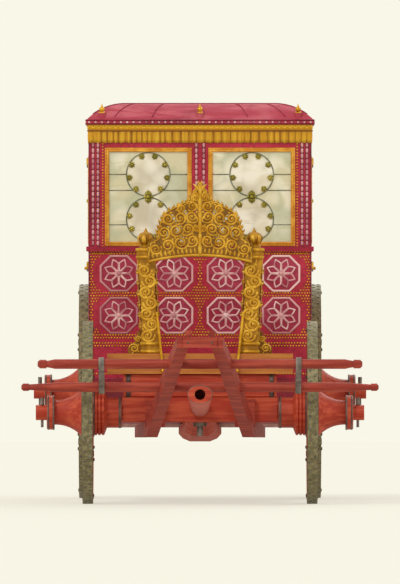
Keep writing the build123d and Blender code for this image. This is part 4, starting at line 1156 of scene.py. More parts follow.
boss = turned([(-0.1, 0.48), (0.2, 0.42), (0.42, 0.2)], sides=6)
rosette = joined(
    [flat.stud(boss, 0.55 * np.cos(a), 0.55 * np.sin(a), 0.0, 0.62) for a in even_turns(6)]
    + [flat.stud(boss, 0.0, 0.0, 0.15, 0.85)]
)


def leaded_light(panel, u, height, width):
    """Lead, clear discs and gilt studs of one window."""
    low = window_low_z + frame_width
    high = window_low_z + height - frame_width
    radius = (high - low) / 4
    middle = (low + high) / 2
    half = width / 2 - frame_width
    cames, discs, studs = [], [], []
    for way in (-1, 1):
        centre = middle + way * radius
        wreath = circle(radius - 0.004) + (u, centre)
        cames.append(panel.bead(wreath, half_round(0.0076, 0.0046, pane_out)))
        angles = (np.arange(studs_per_wreath) + 0.5) * 2 * np.pi / studs_per_wreath + way * np.pi / 2
        disc = notched_disc(radius, angles)
        discs.append(panel.stud(plate(disc, 0, 0.0016), u, centre, pane_out))
        stud_u = u + radius * 0.85 * np.cos(angles)
        stud_v = centre + radius * 0.85 * np.sin(angles)
        studs.append(panel.stud(rosette, stud_u, stud_v, 0.0, rosette_size, angles))
    # Level leads: the wreath's centre, and the height above it as a share of the radius
    for centre, share in ((middle + radius, 0.0), (middle + radius, -0.71), (middle - radius, -0.24)):
        v = centre + share * radius
        edge = radius * math.sqrt(1 - share ** 2) - 0.003
        for way in (-1, 1):
            run = [(u + way * edge, v), (u + way * half, v)][::way]
            cames.append(panel.bead(run, half_round(0.0062, 0.0038, pane_out), closed=False))
    studs.append(panel.stud(rosette, u, middle, 0.0, middle_rosette_size))
    return joined(cames), joined(discs), joined(studs)


def frame_line(u, height, width, share):
    """A rectangle round a window, at a share of its frame's width from the outer edge."""
    inset = frame_width * share
    left, right = u - width / 2 + inset, u + width / 2 - inset
    return rectangle(left, right, window_low_z + inset, window_low_z + height - inset)


def frame_trim(panel, u, height, width):
    """A roll and a row of beads on a gilt window frame."""
    roll = panel.bead(frame_line(u, height, width, 0.68), half_round(0.012, 0.006, 0.005))
    corners = frame_line(u, height, width, 0.24)
    points, faces = nail_line(panel, corners + corners[:1], 0.020, 0.011, ends=False)
    return joined([roll, (points + 0.005 * panel.out, faces)])


print("rosette", len(rosette[0]), "points")

# %% Every window of the body and the doors
front_light = (0.640, 0.565)
pane_low, pane_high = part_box("left_door_pane")
side_height = pane_high[2] - pane_low[2] + 0.0406
quarter_u, quarter_width, door_width = 0.585, 0.380, 0.400
# Each window: panel, place along it, height, width
glazing = {"coach": [(front_panel, side * 0.3365, *front_light) for side in (-1, 1)]}
for hand, panel in side_panels.items():
    glazing["coach"] += [(panel, end * quarter_u, side_height, quarter_width) for end in (-1, 1)]
    glazing[f"{hand}_door"] = [(panel, 0.0, side_height, door_width)]
for body, lights in glazing.items():
    made = [leaded_light(*light) for light in lights]
    cames, discs, studs = (joined(shapes) for shapes in zip(*made))
    put(f"{body}_window_lead", cames, body, "iron", lead)
    put(f"{body}_clear_mica", discs, body, "mica", clear_mica, smooth=False)
    put(f"{body}_window_studs", studs, body, "gilt_metal", olive_gilt)
    trim = joined([frame_trim(*light) for light in lights])
    put(f"{body}_frame_trim", trim, body, "gilt_wood", orange_gilt)
nodes["window_frames"].data.materials[0] = orange_gilt

# %% [markdown]
# ## Fringe and eave
# Bullion fringe is hundreds of gold cords hung in bundles from a braided header. Each cord here is a slim
# tube with its own length and shade. The construction model has only a plain band in its place, which
# these pieces replace. Above it the eave carries a row of pearls between two rolls.

# %% Path round the body
level = Panel((0, body_y, 0), (1, 0, 0), (0, 1, 0), (0, 0, 1))


def round_body(offset, pitch):
    """Places at even steps round the body at a distance outside its walls, with the direction outwards
    and the direction along the wall at each."""
    half_x, half_y = body_half + offset, half_length + offset
    corners = np.array(rectangle(-half_x, half_x, -half_y, half_y))
    outs = np.array([(0, -1.0), (1.0, 0), (0, 1.0), (-1.0, 0)])
    places, ways = [], []
    for start, end, out in zip(corners, np.roll(corners, -1, 0), outs):
        count = int(np.linalg.norm(end - start) / pitch)
        share = (np.arange(count) + 0.5)[:, None] / count
        places.append(start + (end - start) * share)
        ways.append(np.repeat(out[None], count, 0))
    places, ways = np.concatenate(places), np.concatenate(ways)
    return places, ways, np.stack([-ways[:, 1], ways[:, 0]], 1)


header_height = 0.040
cord_pitch, cord_r = 0.0078, 0.0036
places, ways, along = round_body(0.0068, cord_pitch)
count = len(places)
print("fringe cords", count)

# %% [markdown]
# Where a cord hangs is random but not loose: four to seven cords make a bundle, and the lower a cord, the
# closer it lies to its bundle's middle. The cords at a bundle's edge are shorter and painted darker, as
# shade between bundles; every cord is painted darker under the header and lighter towards its foot.

# %% Hanging cords
bundle = chance.integers(4, 8, count)
bundle_end = np.cumsum(bundle)
home = np.searchsorted(bundle_end, np.arange(count), side="right")
# Place in the bundle, from -0.5 to 0.5
in_bundle = (np.arange(count) + 0.5 - bundle_end[home]) / bundle[home] + 0.5
gather = (0.0010 + 0.0030 * chance.random(count))[home]
top = fringe_high[2] - header_height + 0.006
foot = fringe_low[2] + 0.003 + 0.005 * chance.random(count) + 0.006 * np.abs(in_bundle)

# The middle line of each cord, ring by ring, and then the rings round it
rings, sides = 5, 5
share = np.linspace(0, 1, rings)
reach = cord_r * np.array([0.8, 1.0, 1.05, 1.0, 0.75])
drift = (in_bundle * gather)[:, None] * share ** 0.6
bow = 0.0022 * np.sin(np.pi * share) * (chance.random(count)[:, None] - 0.4)
middle = places[:, None] - along[:, None] * drift[..., None] + ways[:, None] * bow[..., None]
height = top + (foot[:, None] - top) * share
angle = even_turns(sides)[:, None]
ring = np.cos(angle) * along[:, None] + np.sin(angle) * ways[:, None]
xy = middle[:, :, None] + reach[:, None, None] * ring[:, None]
z = np.broadcast_to(height[:, :, None, None], xy.shape[:3] + (1,))
points = np.concatenate([xy[..., :1], xy[..., 1:] + body_y, z], -1).reshape(-1, 3)

# The rings go down and clockwise, so the faces of each cord are turned round
steps = (np.arange(count) * rings * sides)[:, None, None]
faces = [(f[:, ::-1][None] + steps).reshape(-1, f.shape[1]) for f in capped(None, rings, sides)[1]]
# Painted shade: darker towards a bundle's edges, darker under the header and lighter down the cord
bundle_edge_shade = np.maximum(np.abs(in_bundle) - 0.22, 0)
cord_shade = np.clip(0.62 + 0.35 * (chance.random(count) - 0.5) - 1.7 * bundle_edge_shade, 0, 1)
shade = np.repeat((cord_shade[:, None] + 0.22 * (share - 0.35)).ravel(), sides)
cords = put("fringe_cords", (points, faces), "coach", "gold_fringe", shade=shade)

# %% [markdown]
# The header is braid over a flat dark band that paints the shadow behind the cords, with a scallop of
# braid every few centimetres. Scallops and the pearls of the eave are small shapes set round the body by
# one function, and bands and rolls are mouldings.

# %% Header braid
scallop_pitch = 0.036
roll_r = 0.0055
angle = np.linspace(0, np.pi, 9)
scallop = tube(np.stack([0.46 * np.cos(angle), 0.42 * np.sin(angle) - 0.22, 0 * angle], 1), 0.085, 0.12, 6)


def set_round(shape, offset, pitch, z, size):
    """Copies of a shape at even steps round the body, upright and facing outwards."""
    places, ways, along = round_body(offset, pitch)
    origins = np.column_stack([places[:, 0], places[:, 1] + body_y, np.full(len(places), z)])
    zero = np.zeros((len(places), 1))
    return copies(shape, origins, np.hstack([along, zero]), (0, 0, 1), np.hstack([ways, zero]), size)


def outwards(section, z):
    """A section given outwards and up, as the bead of a level path wants it."""
    return [(-a, b + z) for a, b in section[::-1]]


def around(offset, section, foot_z):
    """A moulding round the body: its section runs outwards and up."""
    half_x, half_y = body_half + offset, half_length + offset
    return level.bead(rectangle(-half_x, half_x, -half_y, half_y), outwards(section, foot_z))


band = [(0, -0.040), (0.008, -0.040), (0.010, -0.020), (0.008, 0.0), (0, 0)]
roll = [(roll_r * math.cos(a), roll_r * math.sin(a)) for a in even_turns(8)]
# A dark band behind the cords, at shade 0.02: painted shadow
shadow_backing = [(0, -0.118), (0.002, -0.118), (0.002, -0.030), (0, -0.030)]
# Each run of the header: its shape and its shade, from 0 for shadowed thread to 1 for the palest
header_runs = [
    (around(0.0004, shadow_backing, fringe_high[2]), 0.02),
    (around(0.0005, band, fringe_high[2]), 0.45),
    (around(0.010, roll, fringe_high[2] - roll_r), 0.7),
    (around(0.0095, roll, fringe_high[2] - header_height), 0.0),
    (set_round(scallop, 0.0105, scallop_pitch, fringe_high[2] - 0.018, scallop_pitch), 1.0),
]
header_shade = np.concatenate([np.full(len(shape[0]), value) for shape, value in header_runs])
header_shape = joined([run[0] for run in header_runs])
header = put("fringe_header", header_shape, "coach", "gold_fringe", shade=header_shade)
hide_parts("fringe")
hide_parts("fringe")

# %% Pearls and rolls of the eave
roof_low, roof_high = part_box("roof")
eave_out = roof_high[0] - body_half
pearl_size, pearl_pitch = 0.0155, 0.041
pearls = set_round(bead, eave_out, pearl_pitch, roof_low[2] + 0.0145, pearl_size)
put("eave_pearls", pearls, "coach", "gold_fringe", silver_braid, shade=shades(pearls, len(bead[0])))
rolls = joined([around(eave_out + 0.0005, roll, z) for z in (roof_low[2] + 0.004, roof_low[2] + 0.0275)])
put("eave_rolls", rolls, "coach", "crimson_leather", welt_hide)

# %% [markdown]
# ## Carving
# The crests and standards are carved vines: volutes on a stem, leaves springing from their backs. A
# volute's line is a spiral whose radius shrinks evenly with its angle, with a tail that swings out towards
# the stem. A leaf is a tube flattened to a blade, grooved along its top and pinched into lobes. The same
# two forms, from short tables of centres, dress every gilded timber.

# %% Volutes and leaves
volute_turns, volute_tail, volute_steps = 1.45, 0.22, 24
blade_steps = 9


def volute(panel, centre, radius, start, hand, width, high, out=0.0, base=0.0):
    """Spiral: its reach is radius * (1 - 0.8 t) at angle start + hand * 2 pi turns t. A tail runs back from
    t = 0 to -tail, where the reach grows by radius * 4 t^2 as well."""
    t = np.linspace(-volute_tail, 1, volute_steps)
    reach = radius * np.where(t < 0, 1 - 0.8 * t + 4 * t ** 2, 1 - 0.8 * t)
    angle = start + hand * 2 * np.pi * volute_turns * t
    path = panel.at(centre[0] + reach * np.cos(angle), centre[1] + reach * np.sin(angle), out)
    taper = 1 - 0.45 * np.clip(t, 0, 1) - 0.5 * np.clip(-t / volute_tail, 0, 1)
    height = base + high * (1 - 0.25 * np.clip(t, 0, 1))
    stem = tube(path, width * taper, height, 8, panel.out, groove=0.25 * high / (base + high))
    points, faces = panel.stud(bead, *centre, out, width * 2.0)
    return [stem, (points + panel.out * (base + high * 0.72), faces)]


def blade(panel, foot, heading, length, width, high, curl=0.9, out=0.0, base=0.0):
    """Leaf: the line turns by curl along its length; half width is sin(pi t^0.75) pinched into lobes."""
    t = np.linspace(0.0, 1.0, blade_steps)
    angle = heading + curl * t ** 1.3
    u = foot[0] + np.concatenate([[0], np.cumsum(np.cos(angle[:-1]))]) * length / (blade_steps - 1)
    v = foot[1] + np.concatenate([[0], np.cumsum(np.sin(angle[:-1]))]) * length / (blade_steps - 1)
    lobes = 1 - 0.24 * np.sin(3 * np.pi * t) ** 2
    wide = width * np.maximum(np.sin(np.pi * t ** 0.75) * lobes, 0.08)
    thick = base + np.maximum(high * np.sin(np.pi * np.clip(t, 0.1, 0.9)), 0.002)
    return tube(panel.at(u, v, out), wide, thick, 8, panel.out, groove=0.35 * high / (base + high))


def foliage(panel, centre, radius, start, hand, width, high, out=0.0, leaves=3, base=0.0):
    """A volute with leaves that spring from its back. A board of half thickness base carries it on both
    faces, so each tube is base deeper."""
    shapes = volute(panel, centre, radius, start, hand, width, high, out, base=base)
    for index in range(leaves):
        angle = start + hand * (0.5 + 1.25 * index)
        foot = (centre[0] + radius * 0.92 * math.cos(angle), centre[1] + radius * 0.92 * math.sin(angle))
        way = angle + hand * 0.2
        shapes.append(
            blade(panel, foot, way, radius * 0.80, width * 1.05, high * 0.86, hand * 1.1, out, base=base)
        )
    return shapes


def put_carving(name, shape):
    """Put a piece of carving on the coach, with painted shade on the flanks of its tubes. Its depth is 1
    along the top and underside of each tube and 0 at its flanks, which a pattern of four values gives
    because every tube and bead has 8 sides."""
    count = len(shape[0])
    depth = np.tile((1, 0.75, 0.0, 0.75), count // 4 + 1)[:count]
    put(name, shape, "coach", "gilt_wood", carved_gold, depth=depth)


# %% [markdown]
# A crest is a pierced board in the construction model, and the vines here wrap it on both faces. Half of it
# is carved and mirrored, and the beaded stem with its leaves goes up the middle.

# %% Crests
crest_half = 0.333
rim_leaf_step = 0.034
stem_steps = 30
# Volutes of half a crest: share of the half width, share of the height, radius as a share of the half
# width, and the way it winds
crest_volutes = [
    (0.86, 0.170, 0.100, 1), (0.62, 0.215, 0.112, -1), (0.37, 0.250, 0.115, 1), (0.145, 0.275, 0.100, -1),
    (0.70, 0.375, 0.105, -1), (0.46, 0.400, 0.112, 1), (0.235, 0.420, 0.105, -1), (0.070, 0.430, 0.055, 1),
    (0.615, 0.545, 0.100, 1), (0.385, 0.555, 0.105, -1), (0.155, 0.570, 0.105, 1),
    (0.355, 0.670, 0.080, 1), (0.150, 0.705, 0.085, -1), (0.080, 0.810, 0.052, 1),
]
# The rim of half a crest from its foot to its top, in the same shares
crest_edge = [
    (1.0, 0.0), (1.0, 0.12), (0.955, 0.24), (0.80, 0.30), (0.815, 0.41), (0.76, 0.52), (0.655, 0.632),
    (0.48, 0.69), (0.33, 0.745), (0.18, 0.76), (0.178, 0.81), (0.15, 0.85), (0.105, 0.875), (0.07, 0.90),
    (0.045, 0.955), (0, 1),
]


def crest_carving(node, rise):
    """Vine scrolls, a rim with leaves, and a beaded stem, a little deeper than the board. The lower edge
    is an arch that rises by rise in the middle."""
    low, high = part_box(node)
    height = high[2] - low[2]
    panel = facing(-1, (low[1] + high[1]) / 2, low[2])
    board = (high[1] - low[1]) / 2
    relief = 0.010
    thick = board + relief
    shapes = []
    for u, v, reach, hand in crest_volutes:
        centre = (crest_half * u, height * v)
        root = math.atan2(-0.06 - centre[1], -centre[0])
        shapes += foliage(panel, centre, crest_half * reach, root + hand, hand, 0.0098, relief, base=board)
    edge = np.array(crest_edge) * (crest_half, height)
    shapes.append(tube(panel.at(edge[:, 0] - 0.003, edge[:, 1]), 0.0055, thick, 8, panel.out, groove=0.2))
    for start, end in zip(edge[1:-1], edge[2:]):
        way = math.atan2(end[1] - start[1], end[0] - start[0])
        leaves = np.linalg.norm(end - start) / rim_leaf_step
        for share in np.arange(0.3, leaves) / max(leaves, 1):
            foot = start + (end - start) * share - (0.006, 0.004)
            shapes.append(blade(panel, foot, way - 1.15, 0.036, 0.0085, thick * 0.8, 1.2))
    arch = np.linspace(0, 1, 13)
    foot = np.stack([crest_half * arch, rise * (1 - arch ** 2) + 0.008], 1)
    shapes.append(tube(panel.at(*foot.T), 0.011, thick, 8, panel.out, groove=0.2))
    for share in np.arange(0.07, 0.97, 0.082):
        root = (crest_half * share, rise * (1 - share ** 2) + 0.013)
        shapes.append(blade(panel, root, math.pi / 2 - 0.5, 0.050, 0.0115, relief, 0.9, base=board))
    both_halves = mirrored(joined(shapes))
    stem_z = np.linspace(rise + 0.01, height * 0.965, stem_steps)
    swell = 0.010 + 0.007 * np.sin(np.linspace(0, 6 * np.pi, stem_steps)) ** 2
    stem = [tube(panel.at(0 * stem_z, stem_z), swell, thick + 0.005, 8, panel.out, groove=0.2)]
    for share in (0.22, 0.36, 0.50, 0.64, 0.80, 0.88):
        for hand in (-1, 1):
            root, way = (hand * 0.006, height * share), math.pi / 2 - hand * 0.35
            stem.append(blade(panel, root, way, 0.070, 0.012, relief + 0.003, -hand * 0.9, base=board))
    return joined([both_halves] + stem)


for node, rise in (("front_crest", 0.042), ("rear_crest", 0.079)):
    put_carving(f"{node}_carving", crest_carving(node, rise))
    # The crest board takes the darker gold: painted shade between the vines
    nodes[node].data.materials[0] = shaded_carving_ground

# %% [markdown]
# The standards lean out a little, so each of their faces is a panel whose up direction leans too. Volutes
# climb it left and right by turns, and the bulb on top wears a calyx of leaves.

# %% Sizes and faces of the standards
# Width and depth of a standard
post_size = {"front": (0.115, 0.150), "rear": (0.115, 0.205)}
# The bulb on top: height and radius, as shares of the bulb's own
bulb_profile = np.array([
    (0.22, 0.55), (0.30, 0.84), (0.40, 0.99), (0.48, 1.02), (0.58, 0.90), (0.68, 0.58),
])
# Back of a rear standard: depth below its head and place behind the plain back, in metres
rear_back_line = np.array([
    (0.0, -0.020), (0.070, -0.001), (0.110, -0.016), (0.150, -0.046), (0.220, -0.063), (0.290, -0.068),
    (0.350, -0.062), (0.400, -0.046), (0.440, -0.012), (0.480, 0.006), (0.530, -0.010), (0.570, -0.030),
    (0.600, -0.036), (0.630, -0.020), (0.668, 0.060),
])


def post_frame(end, side):
    """X of a standard's foot and head, Z of both, and the height of its bulb."""
    low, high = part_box(f"{end}_posts")
    foot_x, head_x = (0.318, 0.350) if end == "front" else (0.350, 0.380)
    foot_z = low[2] if end == "front" else low[2] + 0.174
    bulb = 0.134 if end == "front" else 0.117
    head_z = high[2] - bulb
    return side * foot_x, side * head_x, foot_z, head_z, bulb


def standard_faces(end, side):
    """Front, back and side panels of a post, each with the width that can be carved, and the height."""
    foot_x, head_x, foot_z, head_z, bulb = post_frame(end, side)
    lean = (head_x - foot_x) / (head_z - foot_z)
    across, deep = post_size[end]
    front_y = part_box(f"{end}_posts")[0][1]
    middle_y = front_y + deep / 2
    up = unit(np.array((lean, 0, 1.0)))
    faces = []
    for way in (-1, 1):
        back = 0.052 if end == "rear" and way > 0 else 0.006
        origin = (foot_x, middle_y + way * (deep / 2 - back), foot_z)
        faces.append((Panel(origin, (-way, 0, way * lean), up, (0, way, 0)), across - 0.016))
        out = unit(np.array((way, 0, -way * lean)))
        shift, lost = (-0.032, 0.070) if end == "rear" else (0, 0.012)
        origin = np.array((foot_x, middle_y + shift, foot_z)) + out * (across / 2 - 0.007)
        faces.append((Panel(origin, (0, way, 0), up, out), deep - lost))
    return faces, head_z - foot_z


print("standards", ", ".join(f"{end} {size}" for end, size in post_size.items()))

# %% Vines, calyx and collars
vine_reach, vine_thick = 0.040, 0.015


def climbing_vine(panel, width, low, high, reach, thick):
    """Volutes up a face from low to high, in as many columns as fit, between two edge beads."""
    columns = max(1, round(width / (3.4 * reach)))
    step = 1.75 * reach
    count = int((high - low) / step)
    shapes = []
    for column in range(columns):
        middle = ((column + 0.5) / columns - 0.5) * width
        for index in range(count):
            hand = 1 if (index + column) % 2 else -1
            centre = (middle + hand * 0.36 * reach, low + step * (index + 0.6))
            start = -math.pi / 2 + hand * 0.7
            shapes += foliage(panel, centre, reach * 0.90, start, hand, reach * 0.29, thick, 0.001)
            # A leaf fills the corner on the other side of the stem
            root = (middle - hand * 0.40 * reach, centre[1] - 0.85 * reach)
            way = math.pi / 2 + hand * 0.75
            shapes.append(blade(panel, root, way, reach * 1.35, reach * 0.30, thick, -hand * 1.2, 0.001))
        v = np.linspace(low, high, 4 * count)
        u = middle - 0.45 * reach * np.sin((v - low) / step * np.pi)
        shapes.append(tube(panel.at(u, v, 0.0), reach * 0.2, thick * 0.8, 8, panel.out, groove=0.2))
    return shapes


def calyx(x, y, foot_z, height, radius=0.052, leaves=7):
    """Leaves that lie up the flanks of a bulb."""
    shapes = []
    for turn in np.arange(leaves) * 2 * np.pi / leaves:
        out = np.array((math.cos(turn), math.sin(turn), 0))
        path = np.array((x, y, foot_z)) + out * (bulb_profile[:, 1:] * radius)
        path[:, 2] += bulb_profile[:, 0] * height
        wide = radius * 0.36 * np.array([0.45, 0.85, 1.0, 0.95, 0.7, 0.15])
        shapes.append(tube(path, wide, 0.005, 8, out + (0, 0, 0.2), groove=0.3))
    return shapes


def collar(x, y, half_x, half_y, z, section):
    """A moulding round a square timber: its section runs outwards and up."""
    path = rectangle(x - half_x, x + half_x, y - half_y - body_y, y + half_y - body_y)
    return level.bead(path, outwards(section, z))


cap_section = [
    (-0.003, -0.014), (0.004, -0.012), (0.009, -0.004), (0.009, 0.004), (0.003, 0.010), (-0.003, 0.010),
]
for end in ("front", "rear"):
    rear = end == "rear"
    across, deep = post_size[end]
    cap_deep = deep - (0.020 if rear else 0)
    front_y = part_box(f"{end}_posts")[0][1]
    vine_low, vine_high = (0.03, 0.97) if rear else (0.11, 0.90)
    shapes, mouldings = [], []
    for side in (-1, 1):
        faces, height = standard_faces(end, side)
        foot_x, head_x, foot_z, head_z, bulb = post_frame(end, side)
        for panel, width in faces:
            low, high = vine_low * height, vine_high * height
            vine = climbing_vine(panel, width, low, high, vine_reach, vine_thick)
            if rear and panel.out[1] > 0.5:
                # The vine on the back follows its hollows and bulges
                for points, _ in vine:
                    below = head_z - points[:, 2]
                    back = front_y + deep + np.interp(below, *rear_back_line.T) - 0.006
                    points[:, 1] += back - panel.origin[1]
            shapes += vine
        shapes += calyx(head_x, front_y + deep / 2, head_z, bulb)
        for share in (0.985,) if rear else (0.02, 0.095, 0.915, 0.985):
            x = foot_x + (head_x - foot_x) * share
            z = foot_z + share * height
            mouldings.append(collar(x, front_y + cap_deep / 2, across / 2, cap_deep / 2, z, cap_section))
    if rear:
        # Volutes on the outer side and the toe of each foot
        foot_low, foot_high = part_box("rear_posts")
        middle_z = foot_low[2] + 0.087
        toe = facing(1, foot_high[1] - 0.006)
        for side in (-1, 1):
            outer = sideways(side, side * 0.345)
            for back, radius, hand in ((0.082, 0.058, side), (0.205, 0.050, -side)):
                centre = (side * (foot_high[1] - back), middle_z)
                shapes += foliage(outer, centre, radius, 0.6, hand, 0.011, 0.010)
            for z, hand in ((-0.030, 1), (0.036, -1)):
                shapes += foliage(toe, (-side * 0.293, middle_z + z), 0.030, 0.9, hand, 0.008, 0.014)
    put_carving(f"{end}_post_carving", joined(shapes))
    put(f"{end}_post_mouldings", joined(mouldings), "coach", "gilt_wood")
    # The standard itself takes the darker gold: painted shade between the vines
    nodes[f"{end}_posts"].data.materials[0] = shaded_post_ground

# %% [markdown]
# Small brackets fill the corners between the standards and the timbers. Each is cut out in the construction
# model, so the carving only needs a few volutes on its face and a leaf for its tip.

# %% Brackets beside the standards
# Volutes of a rear bracket: place across, height above its foot, radius, and the way it winds
rear_volutes = [
    (0.468, 0.052, 0.040, 1), (0.520, 0.052, 0.026, -1), (0.452, 0.138, 0.036, -1),
    (0.522, 0.142, 0.038, 1), (0.592, 0.142, 0.034, -1),
]
bracket_low, bracket_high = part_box("rear_brackets")
back_face = facing(1, bracket_high[1])
shapes = []
for u, v, reach, hand in rear_volutes:
    shapes += foliage(back_face, (-u, bracket_low[2] + v), reach, 0.8, hand, 0.009, 0.014)
tip = (-0.600, bracket_low[2] + 0.140)
shapes.append(blade(back_face, tip, math.pi, 0.052, 0.015, 0.014, 0.4))
put_carving("rear_bracket_carving", mirrored(joined(shapes)))

bracket_low, bracket_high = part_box("front_brackets")
shapes = []
for panel in (facing(-1, bracket_low[1]), facing(1, bracket_high[1])):
    for side in (-1, 1):
        way = int(panel.right[0]) * side
        foot_centre = (way * 0.424, bracket_low[2] + 0.034)
        head_centre = (way * 0.398, bracket_low[2] + 0.092)
        shapes += foliage(panel, foot_centre, 0.026, 1.2, way, 0.007, 0.010)
        shapes += foliage(panel, head_centre, 0.018, 1.2, -way, 0.006, 0.010, leaves=2)
put_carving("front_bracket_carving", joined(shapes))
for node in ("rear_brackets", "front_brackets"):
    # The bracket boards take the darker gold: painted shade between the volutes
    nodes[node].data.materials[0] = shaded_carving_ground

# %% [markdown]
# ## Wheels
# The iron of each tyre is six strakes nailed to the felloes, with small gaps at the joints. Big nails
# stand in two staggered rows round the tread. Bolts hold the felloes, and hoops bind the nave. Each piece
# rides on its own wheel, so it turns with it.

# %% Shapes and finishes of the ironwork
strake_thickness, strake_gap, strake_inset = 0.0018, 0.008, 0.0015
tread_nail = turned([(-0.06, 0.5), (0.05, 0.5), (0.13, 0.24)], sides=8)
tread_pitch, tread_row, tread_size = 0.0375, 0.0165, 0.021
bolt_head = turned([(-0.1, 0.42), (0.06, 0.5), (0.16, 0.5), (0.30, 0.36), (0.34, 0.12)], sides=8)
bolt_inset, bolt_spread, bolt_size = 0.050, 0.085, 0.022
clip = plate(rectangle(-0.011, 0.011, -0.020, 0.020), -0.001, 0.003)
hoop_proud = 0.003
hoop_iron = forged("hoop iron", rgb(52, 40, 36), rgb(88, 70, 62), rgb(120, 100, 90), 0.42)
nail_iron = forged("nail iron", rgb(58, 56, 44), rgb(96, 92, 74), rgb(140, 132, 108), 0.4)


def hoop(centre, x, radius, half_width, points=48):
    """A band round a nave: a flat tube along a circle about the axle."""
    y, z = circle(radius, points).T
    path = np.column_stack([np.full(points, x), centre[1] + y, centre[2] + z])
    out = unit(path - np.array((x, centre[1], centre[2])))
    return tube(path, half_width, hoop_proud, 8, out, closed=True)


def bent_strip(centre, low_x, high_x, low_r, high_r, start, end, steps=16):
    """A flat bar bent round an axle from one angle to another."""
    angle = np.linspace(start, end, steps)
    corners = [(high_r, low_x), (low_r, low_x), (low_r, high_x), (high_r, high_x)]
    rings = [
        np.column_stack([np.full(steps, x), centre[1] + r * np.cos(angle), centre[2] + r * np.sin(angle)])
        for r, x in corners
    ]
    return capped(np.stack(rings, 1).reshape(-1, 3), steps, 4)


def on_rim(centre, x, radius, angle, shape, size):
    """Copies of a shape standing on the tread at each angle."""
    out = np.column_stack([0 * angle, np.cos(angle), np.sin(angle)])
    second = np.column_stack([0 * angle, np.sin(angle), -np.cos(angle)])
    places = np.array(centre) * (0, 1, 1) + out * radius + np.array((1.0, 0, 0)) * np.reshape(x, (-1, 1))
    return copies(shape, places, (1, 0, 0), second, out, size)


print("tread nail", len(tread_nail[0]), "points, bolt head", len(bolt_head[0]), "points")

# %% Ironwork of each wheel
sixth = np.pi / 3
for corner in ("front_left", "front_right", "rear_left", "rear_right"):
    wheel = f"{corner}_wheel"
    low, high = (np.array(p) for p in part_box(f"{wheel}_tyre"))
    centre = (low + high) / 2
    radius = (high[2] - low[2]) / 2
    half = (high[0] - low[0]) / 2
    way = 1 if centre[0] > 0 else -1
    cut = strake_gap / 2 / radius
    strakes = [
        bent_strip(centre, low[0] + strake_inset, high[0] - strake_inset, radius - 0.002,
                   radius + strake_thickness, (k - 0.5) * sixth + cut, (k + 0.5) * sixth - cut)
        for k in range(6)
    ]
    put(f"{wheel}_strakes", joined(strakes), wheel, "strake_iron", smooth=False)
    count = 6 * round(2 * np.pi * radius / tread_pitch / 6)
    angle = (np.arange(count) + 0.5) * 2 * np.pi / count
    rows = centre[0] + tread_row * np.where(np.arange(count) % 2, 1, -1)
    treads = on_rim(centre, rows, radius + strake_thickness, angle, tread_nail, tread_size)
    put(f"{wheel}_tread_nails", treads, wheel, "iron", nail_iron)
    bolts = []
    reach = radius - bolt_inset
    middles = np.arange(6) * sixth + sixth / 2
    for side in (-1, 1):
        face = sideways(side, centre[0] + side * half, centre[1], centre[2])
        for offset in (-bolt_spread, bolt_spread):
            turn = middles + offset
            u, v = reach * np.cos(turn) * side, reach * np.sin(turn)
            bolts.append(face.stud(bolt_head, u, v, sizes=bolt_size))
        u, v = reach * np.cos(middles) * side, reach * np.sin(middles)
        bolts.append(face.stud(clip, u, v, turn=np.arctan2(v, u) - np.pi / 2))
    nave_low, nave_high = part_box(wheel)
    outer, inner = (nave_high[0], nave_low[0]) if way > 0 else (nave_low[0], nave_high[0])
    # Hoops: where each is measured from, how far out from there, radius, half width, points
    for start, offset, ring_r, half_width, points in (
        (outer, -0.044, 0.110, 0.006, 48), (outer, -0.010, 0.109, 0.006, 48),
        (inner, 0.012, 0.098, 0.008, 48),
        (centre[0], 0.036, 0.1535, 0.005, 60), (centre[0], -0.038, 0.1535, 0.005, 60),
    ):
        bolts.append(hoop(centre, start + way * offset, ring_r, half_width, points))
    put(f"{wheel}_bands", joined(bolts), wheel, "iron", hoop_iron)

# %% [markdown]
# ## Running gear
# The transom is one timber in two colours: gilt mouldings above and below, a rose cove between. Its
# finish picks the colour by height. The tapered board at the back is given painted shade along its
# slanting sides in the same way. Iron bands and bolt heads tie the timbers together.

# %% Two-coloured transom and painted shade on the tapered board
transom_low, transom_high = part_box("front_transom")
moulding_height = 0.27 * (transom_high[2] - transom_low[2])
cove_low = transom_low[2] + moulding_height
cove_high = transom_high[2] - moulding_height
board_low, board_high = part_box("rear_pedestal")
board_rise = board_high[2] - 0.02 - board_low[2]
board_foot_half, board_head_half = 0.157, 0.236


def parted(name, mask_of, low_colours, high_colours):
    """Two colours on one timber, parted by a mask made from object coordinates: two paints on the transom,
    paint and painted shade on the tapered board.
    """
    f = Finish(name, Coat_Roughness=0.3, Coat_Weight=0.12)
    strokes = f.noise(1.0, 3.0, f.scaled(3.0, 40.0, 40.0))
    clouds = f.noise(7.0, 3.0)
    mask = mask_of(f)
    shade = strokes.step(0.38, 0.66)
    colour = f.mix(mask, f.mix(shade, *low_colours), f.mix(shade, *high_colours))
    colour = f.mix(clouds.step(0.50, 0.72) * 0.4, colour, low_colours[0])
    f.set(Base_Color=colour, Roughness=0.45 + strokes * 0.12)
    f.bump(strokes + mask * 0.5, 0.0011)
    return f.material


def cove(f):
    """1 between the two mouldings of the transom."""
    z = f.axis(2)
    return z.step(cove_low - 0.003, cove_low + 0.001) * z.step(cove_high + 0.003, cove_high - 0.001)


def slanting_edge_shade(f):
    """1 within 34 mm of the slanting sides of the tapered board, where its shade is painted."""
    x = f.axis(0).math("ABSOLUTE")
    slope = (board_head_half - board_foot_half) / board_rise
    edge = (f.axis(2) - board_low[2]) * slope + board_foot_half
    return (edge - x).step(0.036, 0.032)


